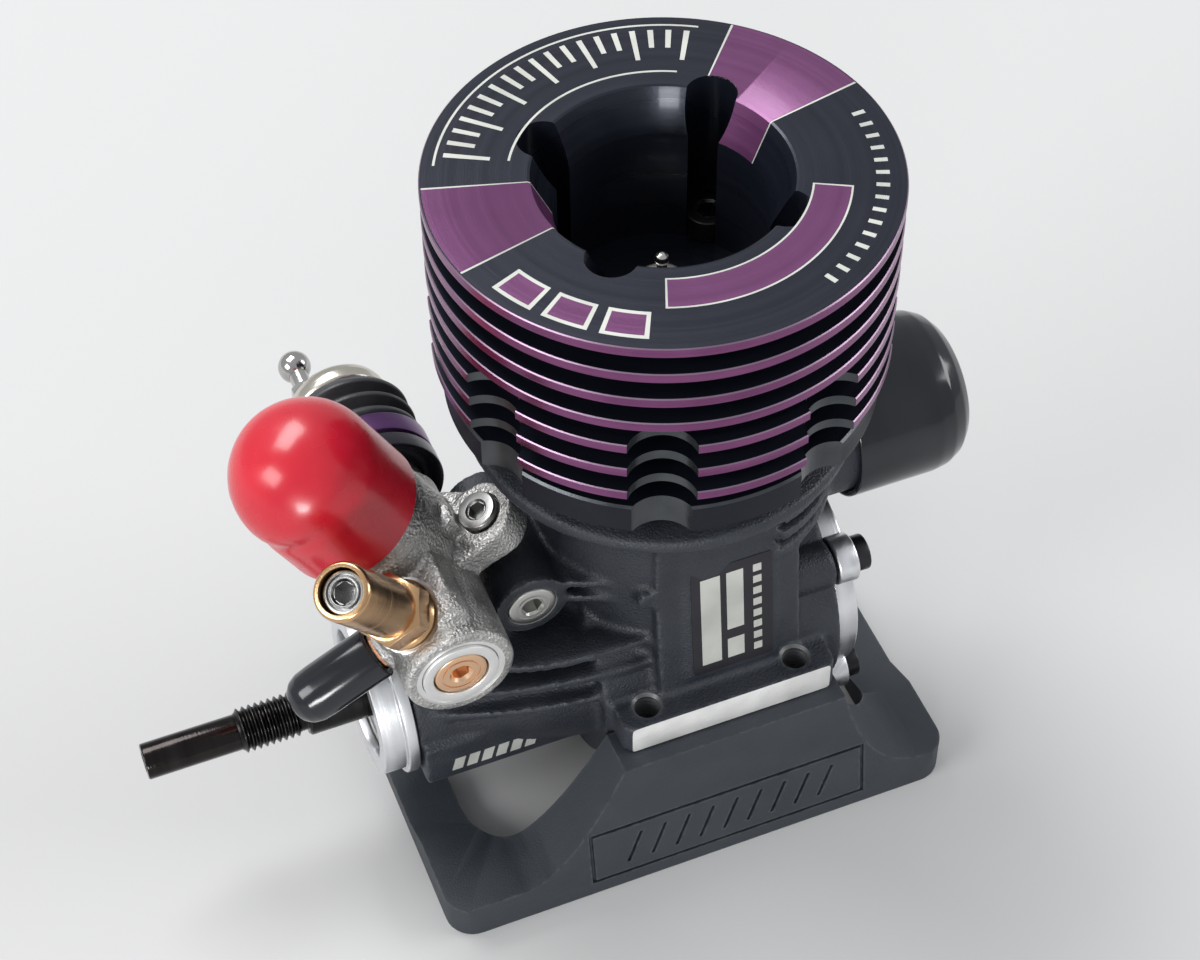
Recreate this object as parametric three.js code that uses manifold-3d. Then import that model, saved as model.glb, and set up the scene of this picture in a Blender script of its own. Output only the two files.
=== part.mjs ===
// Model glow engine standing on its bench stand. Millimetres, +Z up. The crankshaft lies along X with its
// output end at -X, the cylinder stands along Z, and the stand's underside is z = 0. Inside the groups x
// is measured from the cylinder's axis, and the whole bench is moved so that the middle of the stand's
// front bar is x = 0.
import * as THREE from "three";
import { mergeVertices } from "three/addons/utils/BufferGeometryUtils.js";
import Module from "manifold-3d";

const wasm = await Module();
wasm.setup();

// Driving dimensions. Heights inside the engine are measured from the crankshaft's axis.
const CRANK_HEIGHT = 24;
const QUARTER_TURNS = [45, 135, 225, 315];

const STAND = {
  front: -41.5, rear: 33.5, halfWidth: 27.8, topHalfWidth: 25, top: 22.7, lip: 5.7, lipDip: 3.2, corner: 4,
  slotFront: -34, slotRear: 26.5, slotHalfWidth: 18.4, ledgeFront: -15.2, ledgeRear: 17.4,
};
const STROKE = { throw: 8.4, rodLength: 30 };
const CASE = {
  top: 49.7, flangeRadius: 25.6, flangeBottom: 45.9, columnRadius: 17.2, chamberRadius: 17.9,
  chamberFront: -15, chamberRear: 20, cavityRadius: 15.3, cavityFront: -4.9, noseFront: -43,
};
const LUG = {
  front: -14.2, rear: 17, halfWidth: 22.66, bottom: -1.1, top: 3.9, holes: [-9.75, 12], holeY: 19.4,
  holeRadius: 1.75,
};
const EXHAUST = { height: 27.4, radius: 10.3, end: 36, bore: 7 };
const MAIN = { journal: 7, bore: 7.2, rearRace: 12.7, frontRace: 9.5, frontJournal: 3.5 };
const LINER = { bore: 8.25, radius: 10.5, flange: 12.4, bottom: 19, top: 49.6, flangeThickness: 1.9 };
const HEAD = {
  radius: 28.8, bottom: 50, top: 80, fins: 7, pitch: 4.07, finThickness: 1.4, root: 21.5, baseRadius: 27.8,
  baseTop: 53.4, bowlRadius: 15.8, bowlBore: 13.2, bowlCone: 5.5, floor: 57.7, recessTop: 56.2,
  scallopRadius: 4.4, scallopReach: 29.9, scallopTop: 65.6, screwReach: 15.5, pocketRadius: 3.7,
};
const PLATE = { front: 20.2, rear: 23.3, radius: 16.3, screwReach: 17, lobe: 3.4 };
const CARB = {
  x: -35.2, z: 24, lean: -28, barrel: 7.3, nearEnd: -19.3, farEnd: 12.3, slideRadius: 4.9, collar: 9.2,
  neck: 8.3, rim: 15.4, throat: 4.6, stem: 6.8,
};
const SEAT = { bottom: -19, top: -8.7, radius: 9.2 };
const NEEDLE = { x: -1.2, y: -13, z: 7.8, lean: 19.4, length: 21, radius: 3.7 };
const NIPPLE = { y: -11.3, z: 3 };
const PINCH = { x: -22.2, z: 20.5, halfWidth: 10.3, boss: 4.6 };

const facets = (radius) => 4 * Math.min(10, Math.max(3, Math.round(1.55 * Math.sqrt(radius))));

// A closed three.js geometry as a solid that can be cut and joined.
function solid(geometry) {
  const bare = new THREE.BufferGeometry();
  bare.setAttribute("position", geometry.attributes.position);
  bare.setIndex(geometry.index);
  const merged = mergeVertices(bare, 1e-4);
  const corners = merged.index.array;
  const triangles = [];
  for (let i = 0; i < corners.length; i += 3) {
    const [a, b, c] = corners.slice(i, i + 3);
    if (a !== b && b !== c && c !== a) triangles.push(a, b, c);
  }
  const vertProperties = new Float32Array(merged.attributes.position.array);
  const triVerts = new Uint32Array(triangles);
  return new wasm.Manifold(new wasm.Mesh({ numProp: 3, vertProperties, triVerts }));
}

// Turned about +Z from [radius, height] points.
function turned(profile, segments) {
  const widest = Math.max(...profile.map((point) => point[0]));
  const points = profile.map(([radius, height]) => new THREE.Vector2(radius, height));
  return solid(new THREE.LatheGeometry(points, segments ?? facets(widest)).rotateX(Math.PI / 2));
}

function rod(radius, from, to, segments) {
  return turned([[0, from], [radius, from], [radius, to], [0, to]], segments);
}

function ring(inner, outer, from, to, segments) {
  return turned([[inner, from], [outer, from], [outer, to], [inner, to], [inner, from]], segments);
}

const alongX = (shape) => shape.rotate([0, 90, 0]);
const alongY = (shape) => shape.rotate([-90, 0, 0]);

function block(x0, x1, y0, y1, z0, z1) {
  const box = new THREE.BoxGeometry(x1 - x0, y1 - y0, z1 - z0);
  return solid(box.translate((x0 + x1) / 2, (y0 + y1) / 2, (z0 + z1) / 2));
}

// A flat outline raised along +Z from one height to another.
function raised(shape, from, to) {
  const options = { depth: to - from, bevelEnabled: false, curveSegments: 4 };
  return solid(new THREE.ExtrudeGeometry(shape, options).translate(0, 0, from));
}

const outline = (points) => new THREE.Shape(points.map(([x, y]) => new THREE.Vector2(x, y)));

function roundedRectangle(x0, x1, y0, y1, radius) {
  const shape = new THREE.Shape();
  shape.moveTo(x0 + radius, y0);
  shape.lineTo(x1 - radius, y0);
  shape.absarc(x1 - radius, y0 + radius, radius, -Math.PI / 2, 0);
  shape.lineTo(x1, y1 - radius);
  shape.absarc(x1 - radius, y1 - radius, radius, 0, Math.PI / 2);
  shape.lineTo(x0 + radius, y1);
  shape.absarc(x0 + radius, y1 - radius, radius, Math.PI / 2, Math.PI);
  shape.lineTo(x0, y0 + radius);
  shape.absarc(x0 + radius, y0 + radius, radius, Math.PI, Math.PI * 1.5);
  return shape;
}

const join = (shapes) => wasm.Manifold.union(shapes);
const cut = (shape, tools) => shape.subtract(join(tools));

// A hexagonal socket of the given width across its flats.
const hexSocket = (acrossFlats, from, to) => rod(acrossFlats / Math.sqrt(3), from, to, 6);

const FINISHES = {
  blackAnodised: { color: 0x17181c, roughness: 0.32, metalness: 0.7 },
  blackCasting: { color: 0x25272b, roughness: 0.72, metalness: 0.35 },
  bareAluminium: { color: 0xd5d6d8, roughness: 0.33, metalness: 0.95 },
  castAluminium: { color: 0xa3a2a0, roughness: 0.62, metalness: 0.85 },
  purpleAnodised: { color: 0x4a2a58, roughness: 0.34, metalness: 0.8 },
  brass: { color: 0xb98a5c, roughness: 0.3, metalness: 0.95 },
  copper: { color: 0xc08a60, roughness: 0.36, metalness: 0.95 },
  steel: { color: 0xb9b8b4, roughness: 0.28, metalness: 1 },
  blackSteel: { color: 0x1d1c1d, roughness: 0.35, metalness: 0.85 },
  nickelSteel: { color: 0xcdc6b6, roughness: 0.28, metalness: 0.95 },
  redVinyl: { color: 0xc61f36, roughness: 0.3, metalness: 0 },
  blackVinyl: { color: 0x14151a, roughness: 0.22, metalness: 0 },
  blackRubber: { color: 0x1c1d22, roughness: 0.62, metalness: 0 },
  blackPlastic: { color: 0x33353a, roughness: 0.58, metalness: 0 },
  whiteCeramic: { color: 0xe8e4da, roughness: 0.5, metalness: 0 },
};

function add(parent, name, finish, shape, position = [0, 0, 0]) {
  const { vertProperties, triVerts } = shape.simplify(0.02).getMesh();
  const geometry = new THREE.BufferGeometry();
  geometry.setAttribute("position", new THREE.BufferAttribute(new Float32Array(vertProperties), 3));
  geometry.setIndex(new THREE.BufferAttribute(new Uint32Array(triVerts), 1));
  geometry.computeVertexNormals();
  const material = new THREE.MeshStandardMaterial({ name: finish, ...FINISHES[finish] });
  const mesh = new THREE.Mesh(geometry, material);
  mesh.name = name;
  mesh.position.set(...position);
  parent.add(mesh);
}

function frame(parent, position, rotation = [0, 0, 0]) {
  const group = new THREE.Group();
  group.position.set(...position);
  group.rotation.set(...rotation.map(THREE.MathUtils.degToRad));
  parent.add(group);
  return group;
}

const bench = new THREE.Group();
bench.position.x = -(STAND.front + STAND.slotFront) / 2;
const engine = frame(bench, [0, 0, CRANK_HEIGHT]);
const carb = frame(engine, [CARB.x, 0, CARB.z], [0, CARB.lean, 0]);

// Bench stand: swept side walls, low lips at both ends and a slot that is open to the floor.
function benchStand() {
  const s = STAND;
  const side = new THREE.Shape();
  side.moveTo(s.front, 0);
  side.lineTo(s.rear, 0);
  side.lineTo(s.rear, s.lip);
  side.lineTo(s.ledgeRear + 11.6, s.lip);
  side.quadraticCurveTo(s.ledgeRear + 3, s.lip + 1, s.ledgeRear, s.top);
  side.lineTo(s.ledgeFront, s.top);
  side.quadraticCurveTo(s.ledgeFront - 9.3, s.lip, s.ledgeFront - 15.8, s.lip);
  side.lineTo(s.front, s.lip);
  const walls = raised(side, -s.halfWidth, s.halfWidth).rotate([90, 0, 0]);
  const plan = raised(roundedRectangle(s.front, s.rear, -s.halfWidth, s.halfWidth, s.corner), 0, s.top);
  const section = outline([
    [-s.halfWidth, 0], [s.halfWidth, 0], [s.halfWidth, 3], [s.topHalfWidth, s.top],
    [-s.topHalfWidth, s.top], [-s.halfWidth, 3],
  ]);
  const drafted = raised(section, s.front, s.rear).rotate([90, 0, 0]).rotate([0, 0, 90]);
  const opening = roundedRectangle(s.slotFront, s.slotRear, -s.slotHalfWidth, s.slotHalfWidth, 6);
  const slot = raised(opening, -1, s.top + 1);
  const dip = outline([
    [-15, s.lip], [-9, s.lipDip], [9, s.lipDip], [15, s.lip], [15, s.top], [-15, s.top],
  ]);
  const troughs = raised(dip, s.front - 1, s.rear + 1).rotate([90, 0, 0]).rotate([0, 0, 90]);
  return cut(walls.intersect(plan).intersect(drafted), [slot, troughs]);
}
add(bench, "bench_stand", "blackPlastic", benchStand());

// Crankcase: nose, crank chamber, cylinder column, mounting lugs, exhaust stub and carburettor seat.
function atSeat(shape) {
  return shape.rotate([0, CARB.lean, 0]).translate([CARB.x, 0, CARB.z]);
}

function caseBody() {
  const c = CASE;
  const nose = alongX(turned([
    [0, c.noseFront], [10.4, c.noseFront], [10.4, -39.4], [11.6, -39.4], [11.8, -34], [13.4, -25],
    [15.4, -14], [0, -14],
  ]));
  const chamber = alongX(rod(c.chamberRadius, c.chamberFront, c.chamberRear));
  const column = turned([
    [0, 6], [c.columnRadius, 6], [c.columnRadius, 39.5], [20.5, 43.6], [24.9, c.flangeBottom],
    [c.flangeRadius, c.flangeBottom + 0.8], [c.flangeRadius, c.top - 0.6], [25, c.top], [0, c.top],
  ]);
  const flank = outline([
    [-19, LUG.top - 1], [19, LUG.top - 1], [16.4, 26], [17, 43], [-17, 43], [-16.4, 26],
  ]);
  const flanks = raised(flank, -12, 13).rotate([90, 0, 0]).rotate([0, 0, 90]);
  const lugPlan = roundedRectangle(LUG.front, LUG.rear, -LUG.halfWidth, LUG.halfWidth, 2);
  const lugs = raised(lugPlan, LUG.bottom, LUG.top);
  const stub = alongX(rod(EXHAUST.radius, 8, EXHAUST.end)).translate([0, 0, EXHAUST.height]);
  const collar = alongX(rod(EXHAUST.radius + 1.1, 14, 19.6)).translate([0, 0, EXHAUST.height]);
  const seat = atSeat(rod(SEAT.radius, SEAT.bottom, SEAT.top));
  const pinchBoss = alongY(rod(PINCH.boss, -PINCH.halfWidth, PINCH.halfWidth))
    .translate([PINCH.x, 0, PINCH.z]);
  const panel = block(-39.2, -14, -12.6, 12.6, -8, -0.6);
  return join([nose, chamber, column, flanks, lugs, stub, collar, seat, pinchBoss, panel]);
}

// Stiffening ribs that sweep back along the nose, and the rings round the back of the cylinder.
function caseRibs() {
  const shapes = [];
  for (const side of [-1, 1]) {
    for (const height of [4.2, 8.6, 13]) {
      const reach = 15.8 - height * 0.08;
      const rib = new THREE.Shape();
      rib.moveTo(-37, 0);
      rib.lineTo(-37, side * 10.6);
      rib.quadraticCurveTo(-24, side * (reach + 0.6), -11, side * reach);
      rib.lineTo(-11, 0);
      const plate = raised(rib, height - 0.8, height + 0.8);
      const blunt = block(-40, -28, -20, 20, height - 2, height + 2);
      shapes.push(height < 9 ? plate : plate.subtract(blunt));
    }
    shapes.push(block(-21, -7, Math.min(side * 9, side * 14.6), Math.max(side * 9, side * 14.6), 19.6, 24));
    shapes.push(alongY(rod(1.4, -1, 1)).translate([-8.2, side * 15.2, 22.4]));
  }
  for (let height = 25; height < 44; height += 4.1) {
    const band = ring(16, 19.4, height, height + 1.7).translate([0.6, 0, 0]);
    shapes.push(band.intersect(block(2, 17.4, -20, 20, 0, CASE.top)));
  }
  return shapes;
}

function caseBosses() {
  const shapes = [];
  for (const angle of QUARTER_TURNS) {
    const plateBoss = rod(3.2, 9, CASE.chamberRear).translate([PLATE.screwReach, 0, 0]);
    shapes.push(alongX(plateBoss.rotate([0, 0, angle])));
    shapes.push(rod(3.3, 34, 47).translate([HEAD.screwReach, 0, 0]).rotate([0, 0, angle]));
  }
  return shapes;
}

function caseCuts() {
  const cuts = [
    alongX(rod(MAIN.bore, -44, -10)),
    alongX(rod(MAIN.frontRace + 0.1, -44, -36.5)),
    alongX(rod(MAIN.rearRace + 0.1, -18.9, -12.3)),
    alongX(rod(13.3, -12.4, -4)),
    alongX(rod(CASE.cavityRadius, CASE.cavityFront, 21)),
    rod(LINER.radius + 0.1, 0, 50),
    rod(LINER.flange + 0.1, LINER.top - LINER.flangeThickness - 0.1, 51),
    atSeat(rod(CARB.stem + 0.2, SEAT.bottom, 0)),
    atSeat(rod(SEAT.radius + 0.1, SEAT.top, 8)),
    alongX(rod(EXHAUST.bore, 8, 37)).translate([0, 0, EXHAUST.height]),
    block(8, 14.4, -7, 7, 24, 37.4),
    block(-13.6, -8, -3.5, 3.5, 15, 35.4),
    alongY(rod(1.9, -11, 11)).translate([PINCH.x, 0, PINCH.z]),
    alongY(rod(3.45, -11, -6.9)).translate([PINCH.x, 0, PINCH.z]),
    alongY(rod(3.45, 6.9, 11)).translate([PINCH.x, 0, PINCH.z]),
  ];
  for (const side of [-1, 1]) {
    cuts.push(block(-5, 5, Math.min(side * 8, side * 13.4), Math.max(side * 8, side * 13.4), 6, 35.4));
    for (const x of LUG.holes) {
      cuts.push(rod(LUG.holeRadius, LUG.bottom - 1, LUG.top + 1).translate([x, side * LUG.holeY, 0]));
    }
  }
  for (const angle of QUARTER_TURNS) {
    cuts.push(alongX(rod(1.3, 10.5, 21).translate([PLATE.screwReach, 0, 0]).rotate([0, 0, angle])));
    cuts.push(rod(1.65, 36.5, 51).translate([HEAD.screwReach, 0, 0]).rotate([0, 0, angle]));
  }
  return cuts;
}
const casting = join([caseBody(), ...caseRibs(), ...caseBosses()]);
add(engine, "crankcase", "blackCasting", cut(casting, caseCuts()));

// Bare aluminium ring pressed over the nose: a plain front band and a thin flange behind it.
add(engine, "nose_ring", "bareAluminium", alongX(turned([
  [9.1, -44.5], [11.3, -44.5], [11.6, -44.2], [11.6, -41.3], [12.4, -41.3], [12.4, -39.7], [10.6, -39.7],
  [10.6, -43.2], [9.1, -43.2], [9.1, -44.5],
])));

// Ball bearings: outer race, inner race and the balls held in their cage.
function outerRace(outer, groove, ball, width) {
  const lip = outer - 1.3;
  return turned([
    [lip, 0], [outer, 0], [outer, width], [lip, width], [lip, width * 0.72],
    [groove + ball * 0.93, width * 0.6], [groove + ball * 0.93, width * 0.4], [lip, width * 0.28], [lip, 0],
  ]);
}

function innerRace(bore, groove, ball, width) {
  const lip = bore + 1.3;
  return turned([
    [bore, 0], [lip, 0], [lip, width * 0.28], [groove - ball - 0.12, width * 0.4],
    [groove - ball - 0.12, width * 0.6], [lip, width * 0.72], [lip, width], [bore, width], [bore, 0],
  ]);
}

function ballCage(groove, ball, width, count) {
  const shapes = [ring(groove - 0.55, groove + 0.55, width * 0.36, width * 0.64)];
  for (let i = 0; i < count; i += 1) {
    const sphere = solid(new THREE.SphereGeometry(ball * 0.87, 6, 5));
    shapes.push(sphere.translate([groove, 0, width / 2]).rotate([0, 0, (360 * i) / count]));
  }
  return join(shapes);
}

const REAR_BEARING = { groove: 9.9, ball: 1.5, width: 6, front: -18.6, balls: 10 };
const FRONT_BEARING = { groove: 6.5, ball: 1.15, width: 6, front: -42.7, balls: 7 };
const rear = REAR_BEARING;
const front = FRONT_BEARING;
add(engine, "rear_bearing_outer", "steel",
  alongX(outerRace(MAIN.rearRace, rear.groove, rear.ball, rear.width)), [rear.front, 0, 0]);
add(engine, "rear_bearing_inner", "steel",
  alongX(innerRace(MAIN.journal + 0.05, rear.groove, rear.ball, rear.width)), [rear.front, 0, 0]);
add(engine, "rear_bearing_cage", "brass",
  alongX(ballCage(rear.groove, rear.ball, rear.width, rear.balls)), [rear.front, 0, 0]);
add(engine, "front_bearing_outer", "steel",
  alongX(outerRace(MAIN.frontRace, front.groove, front.ball, front.width)), [front.front, 0, 0]);
add(engine, "front_bearing_inner", "steel",
  alongX(innerRace(MAIN.frontJournal + 0.05, front.groove, front.ball, front.width)), [front.front, 0, 0]);
add(engine, "front_bearing_cage", "brass",
  alongX(ballCage(front.groove, front.ball, front.width, front.balls)), [front.front, 0, 0]);
add(engine, "front_bearing_shield", "steel", alongX(ring(5.1, 7.9, -43.05, -42.75)));

// Crankshaft: web with its cut-away and pin stub, hollow main journal with the inlet window, thread and
// pilot.
function crankshaft() {
  const thread = [];
  const turns = 9;
  const pitch = 0.9;
  for (let i = 0; i < turns; i += 1) {
    const start = -61.4 + i * pitch;
    thread.push([2.62, start], [3.12, start + pitch / 2]);
  }
  const shaft = alongX(turned([
    [0, -74.6], [2.2, -74.6], [2.5, -74.3], [2.5, -61.6], ...thread, [2.6, -53.2], [2.6, -52.3],
    [3.2, -52.3], [MAIN.frontJournal, -52], [MAIN.frontJournal, -36.4], [MAIN.journal, -36.2],
    [MAIN.journal, -12], [0, -12],
  ]));
  const web = alongX(rod(12.8, -12.1, -5.5));
  const pin = alongX(rod(2.75, -6, -2.9)).translate([0, 0, STROKE.throw]);
  const cuts = [
    alongX(rod(4.8, -33, -4)),
    block(-31, -21, -6.2, 6.2, 3.2, 8),
    alongX(rod(1.25, -75, -64, 12)),
  ];
  for (const side of [-1, 1]) {
    cuts.push(block(-11, -5, Math.min(side * 5.2, side * 14), Math.max(side * 5.2, side * 14), 1, 14));
  }
  return cut(join([shaft, web, pin]), cuts);
}
add(engine, "crankshaft", "blackSteel", crankshaft());

// Cylinder liner with its ports, the piston on its pin, and the connecting rod with bronze bushes.
const WRIST = STROKE.throw + STROKE.rodLength;

function cylinderLiner() {
  const l = LINER;
  const sleeve = join([
    ring(l.bore, l.radius, l.bottom, l.top), ring(l.bore, l.flange, l.top - l.flangeThickness, l.top),
  ]);
  return cut(sleeve, [
    block(5, 12, -5.5, 5.5, 30.1, 36.4), block(-12, -5, -2.6, 2.6, 30.1, 34.4),
    block(-4.4, 4.4, -12, -5, 30.1, 34.4), block(-4.4, 4.4, 5, 12, 30.1, 34.4),
  ]);
}
add(engine, "cylinder_liner", "brass", cylinderLiner());

function piston() {
  const crown = WRIST + 8.5;
  const skirt = turned([
    [6.7, WRIST - 6], [8.12, WRIST - 6], [8.12, crown - 0.4], [7.8, crown], [0, crown], [0, crown - 2.2],
    [6.7, crown - 3], [6.7, WRIST - 6],
  ]);
  const bosses = alongX(rod(3.4, -7.4, 7.4)).translate([0, 0, WRIST])
    .subtract(block(-3.4, 3.4, -5, 5, 0, 60));
  const pinHole = alongX(rod(2.1, -9, 9)).translate([0, 0, WRIST]);
  return skirt.add(bosses).subtract(pinHole);
}
add(engine, "piston", "bareAluminium", piston());
add(engine, "wrist_pin", "steel", alongX(ring(1.1, 2, -6.6, 6.6)), [0, 0, WRIST]);
for (const [name, x] of [["wrist_pin_clip_front", -7.3], ["wrist_pin_clip_rear", 6.8]]) {
  add(engine, name, "blackSteel", alongX(ring(1.3, 1.95, 0, 0.5)), [x, 0, WRIST]);
}

function connectingRod() {
  const big = alongX(rod(4.6, -2.5, 2.5));
  const small = alongX(rod(3.6, -2.5, 2.5)).translate([0, 0, STROKE.rodLength]);
  const shank = outline([[-2.6, 2], [2.6, 2], [1.9, 28], [-1.9, 28]]);
  const beam = raised(shank, -1.4, 1.4).rotate([90, 0, 0]).rotate([0, 0, 90]);
  const eyes = [alongX(rod(3.45, -3, 3)), alongX(rod(2.75, -3, 3)).translate([0, 0, STROKE.rodLength])];
  return cut(join([big, small, beam]), eyes);
}
add(engine, "connecting_rod", "castAluminium", connectingRod(), [0, 0, STROKE.throw]);
add(engine, "rod_big_end_bush", "brass", alongX(ring(2.85, 3.4, -2.4, 2.4)), [0, 0, STROKE.throw]);
add(engine, "rod_small_end_bush", "brass", alongX(ring(2.08, 2.7, -2.4, 2.4)), [0, 0, WRIST]);

// Head button with its combustion chamber, the shim under it and the glow plug.
function headButton() {
  const body = turned([
    [0, 47.9], [7.9, 47.9], [7.9, 50.3], [12.5, 50.3], [12.5, 56], [6.1, 56], [6.1, 57.5], [0, 57.5],
  ]);
  const chamber = solid(new THREE.SphereGeometry(5.6, 20, 10)).translate([0, 0, 47.2]);
  return cut(body, [chamber, rod(3.95, 50, 58)]);
}
add(engine, "head_button", "bareAluminium", headButton());
add(engine, "head_shim", "copper", ring(8.4, 12.4, 49.75, 50.1));

function glowPlug() {
  const hex = rod(8 / Math.sqrt(3), 57.7, 61.4, 6);
  const body = turned([[0, 52.7], [2.4, 52.7], [3.8, 54], [3.8, 57.8], [0, 57.8]]);
  const neck = rod(3.1, 61.2, 62.4);
  return cut(join([hex, body, neck]), [rod(1.75, 61.6, 63), rod(1.6, 52, 56)]);
}
add(engine, "glow_plug", "nickelSteel", glowPlug());
add(engine, "glow_plug_insulator", "whiteCeramic", ring(0.75, 1.6, 61.75, 63.1));
add(engine, "glow_plug_post", "steel", turned([
  [0, 61.8], [0.65, 61.8], [0.65, 64.9], [0.45, 65.2], [0.9, 65.7], [1, 66.1], [0.8, 66.6], [0.3, 66.9],
  [0, 66.9],
]));

// Cooling head: stacked fins round a deep bowl, scalloped below, with four screws at the bowl's floor.
function coolingHead() {
  const h = HEAD;
  const fins = [];
  for (let i = h.fins - 1; i >= 0; i -= 1) {
    const upper = h.top - i * h.pitch;
    const lower = upper - h.finThickness;
    fins.push([h.root, lower], [h.radius, lower], [h.radius, upper], [h.root, upper]);
  }
  fins.pop();
  const body = turned([
    [12.7, h.bottom], [h.baseRadius, h.bottom], [h.baseRadius, h.baseTop], [h.root, h.baseTop],
    ...fins, [h.bowlRadius, h.top], [h.bowlBore, h.top - h.bowlCone], [h.bowlBore, h.floor],
    [6.3, h.floor], [6.3, h.recessTop], [12.7, h.recessTop], [12.7, h.bottom],
  ]);
  const cuts = [];
  for (const angle of QUARTER_TURNS) {
    const place = (shape) => shape.translate([h.screwReach, 0, 0]).rotate([0, 0, angle]);
    cuts.push(place(rod(h.pocketRadius, h.floor, h.top + 1)));
    cuts.push(place(rod(1.65, h.bottom - 1, h.floor + 1)));
  }
  for (let i = 0; i < 8; i += 1) {
    const scallop = rod(h.scallopRadius, h.bottom - 1, h.scallopTop);
    cuts.push(scallop.translate([h.scallopReach, 0, 0]).rotate([0, 0, 22.5 + 45 * i]));
  }
  return cut(body, cuts);
}
add(engine, "cooling_head", "blackAnodised", coolingHead());

function capScrew(shank, length, headRadius, headHeight, socket) {
  const body = join([rod(shank, -length, 0.1), rod(headRadius, 0, headHeight)]);
  return body.subtract(hexSocket(socket, headHeight * 0.4, headHeight + 1));
}
QUARTER_TURNS.forEach((angle, index) => {
  const around = frame(engine, [0, 0, HEAD.floor + 0.1], [0, 0, angle]);
  const screw = capScrew(1.5, 20, 3, 3.2, 2.5);
  add(around, `head_screw_${index + 1}`, "blackSteel", screw, [HEAD.screwReach, 0, 0]);
});

// Rear cover with its sealing ring and four screws.
function rearCover() {
  const shapes = [alongX(rod(PLATE.radius, PLATE.front, PLATE.rear))];
  for (const angle of QUARTER_TURNS) {
    const lobe = rod(PLATE.lobe, PLATE.front, PLATE.rear).translate([PLATE.screwReach, 0, 0]);
    shapes.push(alongX(lobe.rotate([0, 0, angle])));
  }
  shapes.push(alongX(turned([
    [0, 17.2], [15.1, 17.2], [15.1, 18], [13.9, 18], [13.9, 19.4], [15.1, 19.4], [15.1, PLATE.front + 0.1],
    [0, PLATE.front + 0.1],
  ])));
  const cuts = [alongX(rod(10.5, 16, 19.2)), alongX(ring(8.5, 11, PLATE.rear - 0.5, PLATE.rear + 1))];
  for (const angle of QUARTER_TURNS) {
    const hole = rod(1.4, PLATE.front - 1, PLATE.rear + 1).translate([PLATE.screwReach, 0, 0]);
    cuts.push(alongX(hole.rotate([0, 0, angle])));
  }
  return cut(join(shapes), cuts);
}
add(engine, "backplate", "bareAluminium", rearCover());
add(engine, "backplate_oring", "blackRubber",
  alongX(solid(new THREE.TorusGeometry(14.58, 0.55, 6, 28)).translate([0, 0, 18.7])));
QUARTER_TURNS.forEach((angle, index) => {
  const around = frame(engine, [0, 0, 0], [angle, 0, 0]);
  const screw = alongX(capScrew(1.15, 10, 2.5, 2, 2));
  const place = [PLATE.rear + 0.1, 0, PLATE.screwReach];
  add(around, `backplate_screw_${index + 1}`, "blackSteel", screw, place);
});

// Cross bolt beside the carburettor seat and the sleeve nut that closes on it.
add(engine, "pinch_bolt", "steel",
  alongY(capScrew(1.6, 12.6, 3.2, 3.2, 2.5)), [PINCH.x, PINCH.halfWidth - 3.3, PINCH.z]);
add(engine, "pinch_sleeve", "steel",
  alongY(rod(3.25, 0, 3.2).subtract(hexSocket(2.5, -1, 1.6))), [PINCH.x, -PINCH.halfWidth - 0.1, PINCH.z]);

// Carburettor casting: throttle barrel along Y, intake neck along its own Z, stem, needle boss and ears.
function carbBody() {
  const c = CARB;
  const barrel = alongY(turned([
    [0, c.nearEnd], [c.barrel - 0.5, c.nearEnd], [c.barrel, c.nearEnd + 0.5], [c.barrel, 10], [6.4, 10.4],
    [6.4, c.farEnd + 6.4], [0, c.farEnd + 6.4],
  ]));
  const neck = turned([
    [0, -15], [c.stem, -15], [c.stem, -7.4], [c.collar - 0.5, -7.4], [c.collar - 0.5, 2],
    [c.collar, 5], [c.collar, 12.6], [c.neck, 13.2], [c.neck, 22], [0, 22],
  ]);
  const needleBoss = rod(4.9, -9.5, -0.2).rotate([NEEDLE.lean, 0, 0])
    .translate([NEEDLE.x, NEEDLE.y, NEEDLE.z]);
  const nippleBoss = alongX(rod(3.6, -7.3, 1)).translate([0, NIPPLE.y, NIPPLE.z]);
  const web = block(-5.6, 5.6, -13.5, 0, -3, 9);
  const arm = raised(outline([[4, -8], [12.2, -7.3], [12.2, 1.3], [4, 8]]), -0.6, 3.4);
  const ear = rod(4.5, -1, 4).translate([12.2, -3, 0]);
  const gusset = block(4, 10, -4.4, -1.6, 0, 8.4);
  const shell = join([barrel, neck, needleBoss, nippleBoss, web, arm, ear, gusset]);
  return cut(shell, [
    alongY(rod(c.slideRadius + 0.1, -17, 20)),
    alongY(rod(5.15, -20, -11.8)),
    rod(c.throat, -16, 6),
    turned([[0, 5], [c.throat, 5], [6.9, 23], [0, 23]]),
    join([rod(1.6, -2.6, 1), rod(4.9, -0.2, 24)]).rotate([NEEDLE.lean, 0, 0])
      .translate([NEEDLE.x, NEEDLE.y, NEEDLE.z]),
    alongX(rod(1.6, -8, -5)).translate([0, NIPPLE.y, NIPPLE.z]),
    rod(1.55, -2, 5).translate([12.2, -3, 0]),
    rod(3.1, 2.2, 5).translate([12.2, -3, 0]),
  ]);
}
add(carb, "carb_body", "castAluminium", carbBody());
const seatRing = solid(new THREE.TorusGeometry(7.75, 0.55, 6, 20));
add(carb, "carb_seat_oring", "blackRubber", seatRing, [0, 0, -8.05]);

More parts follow.
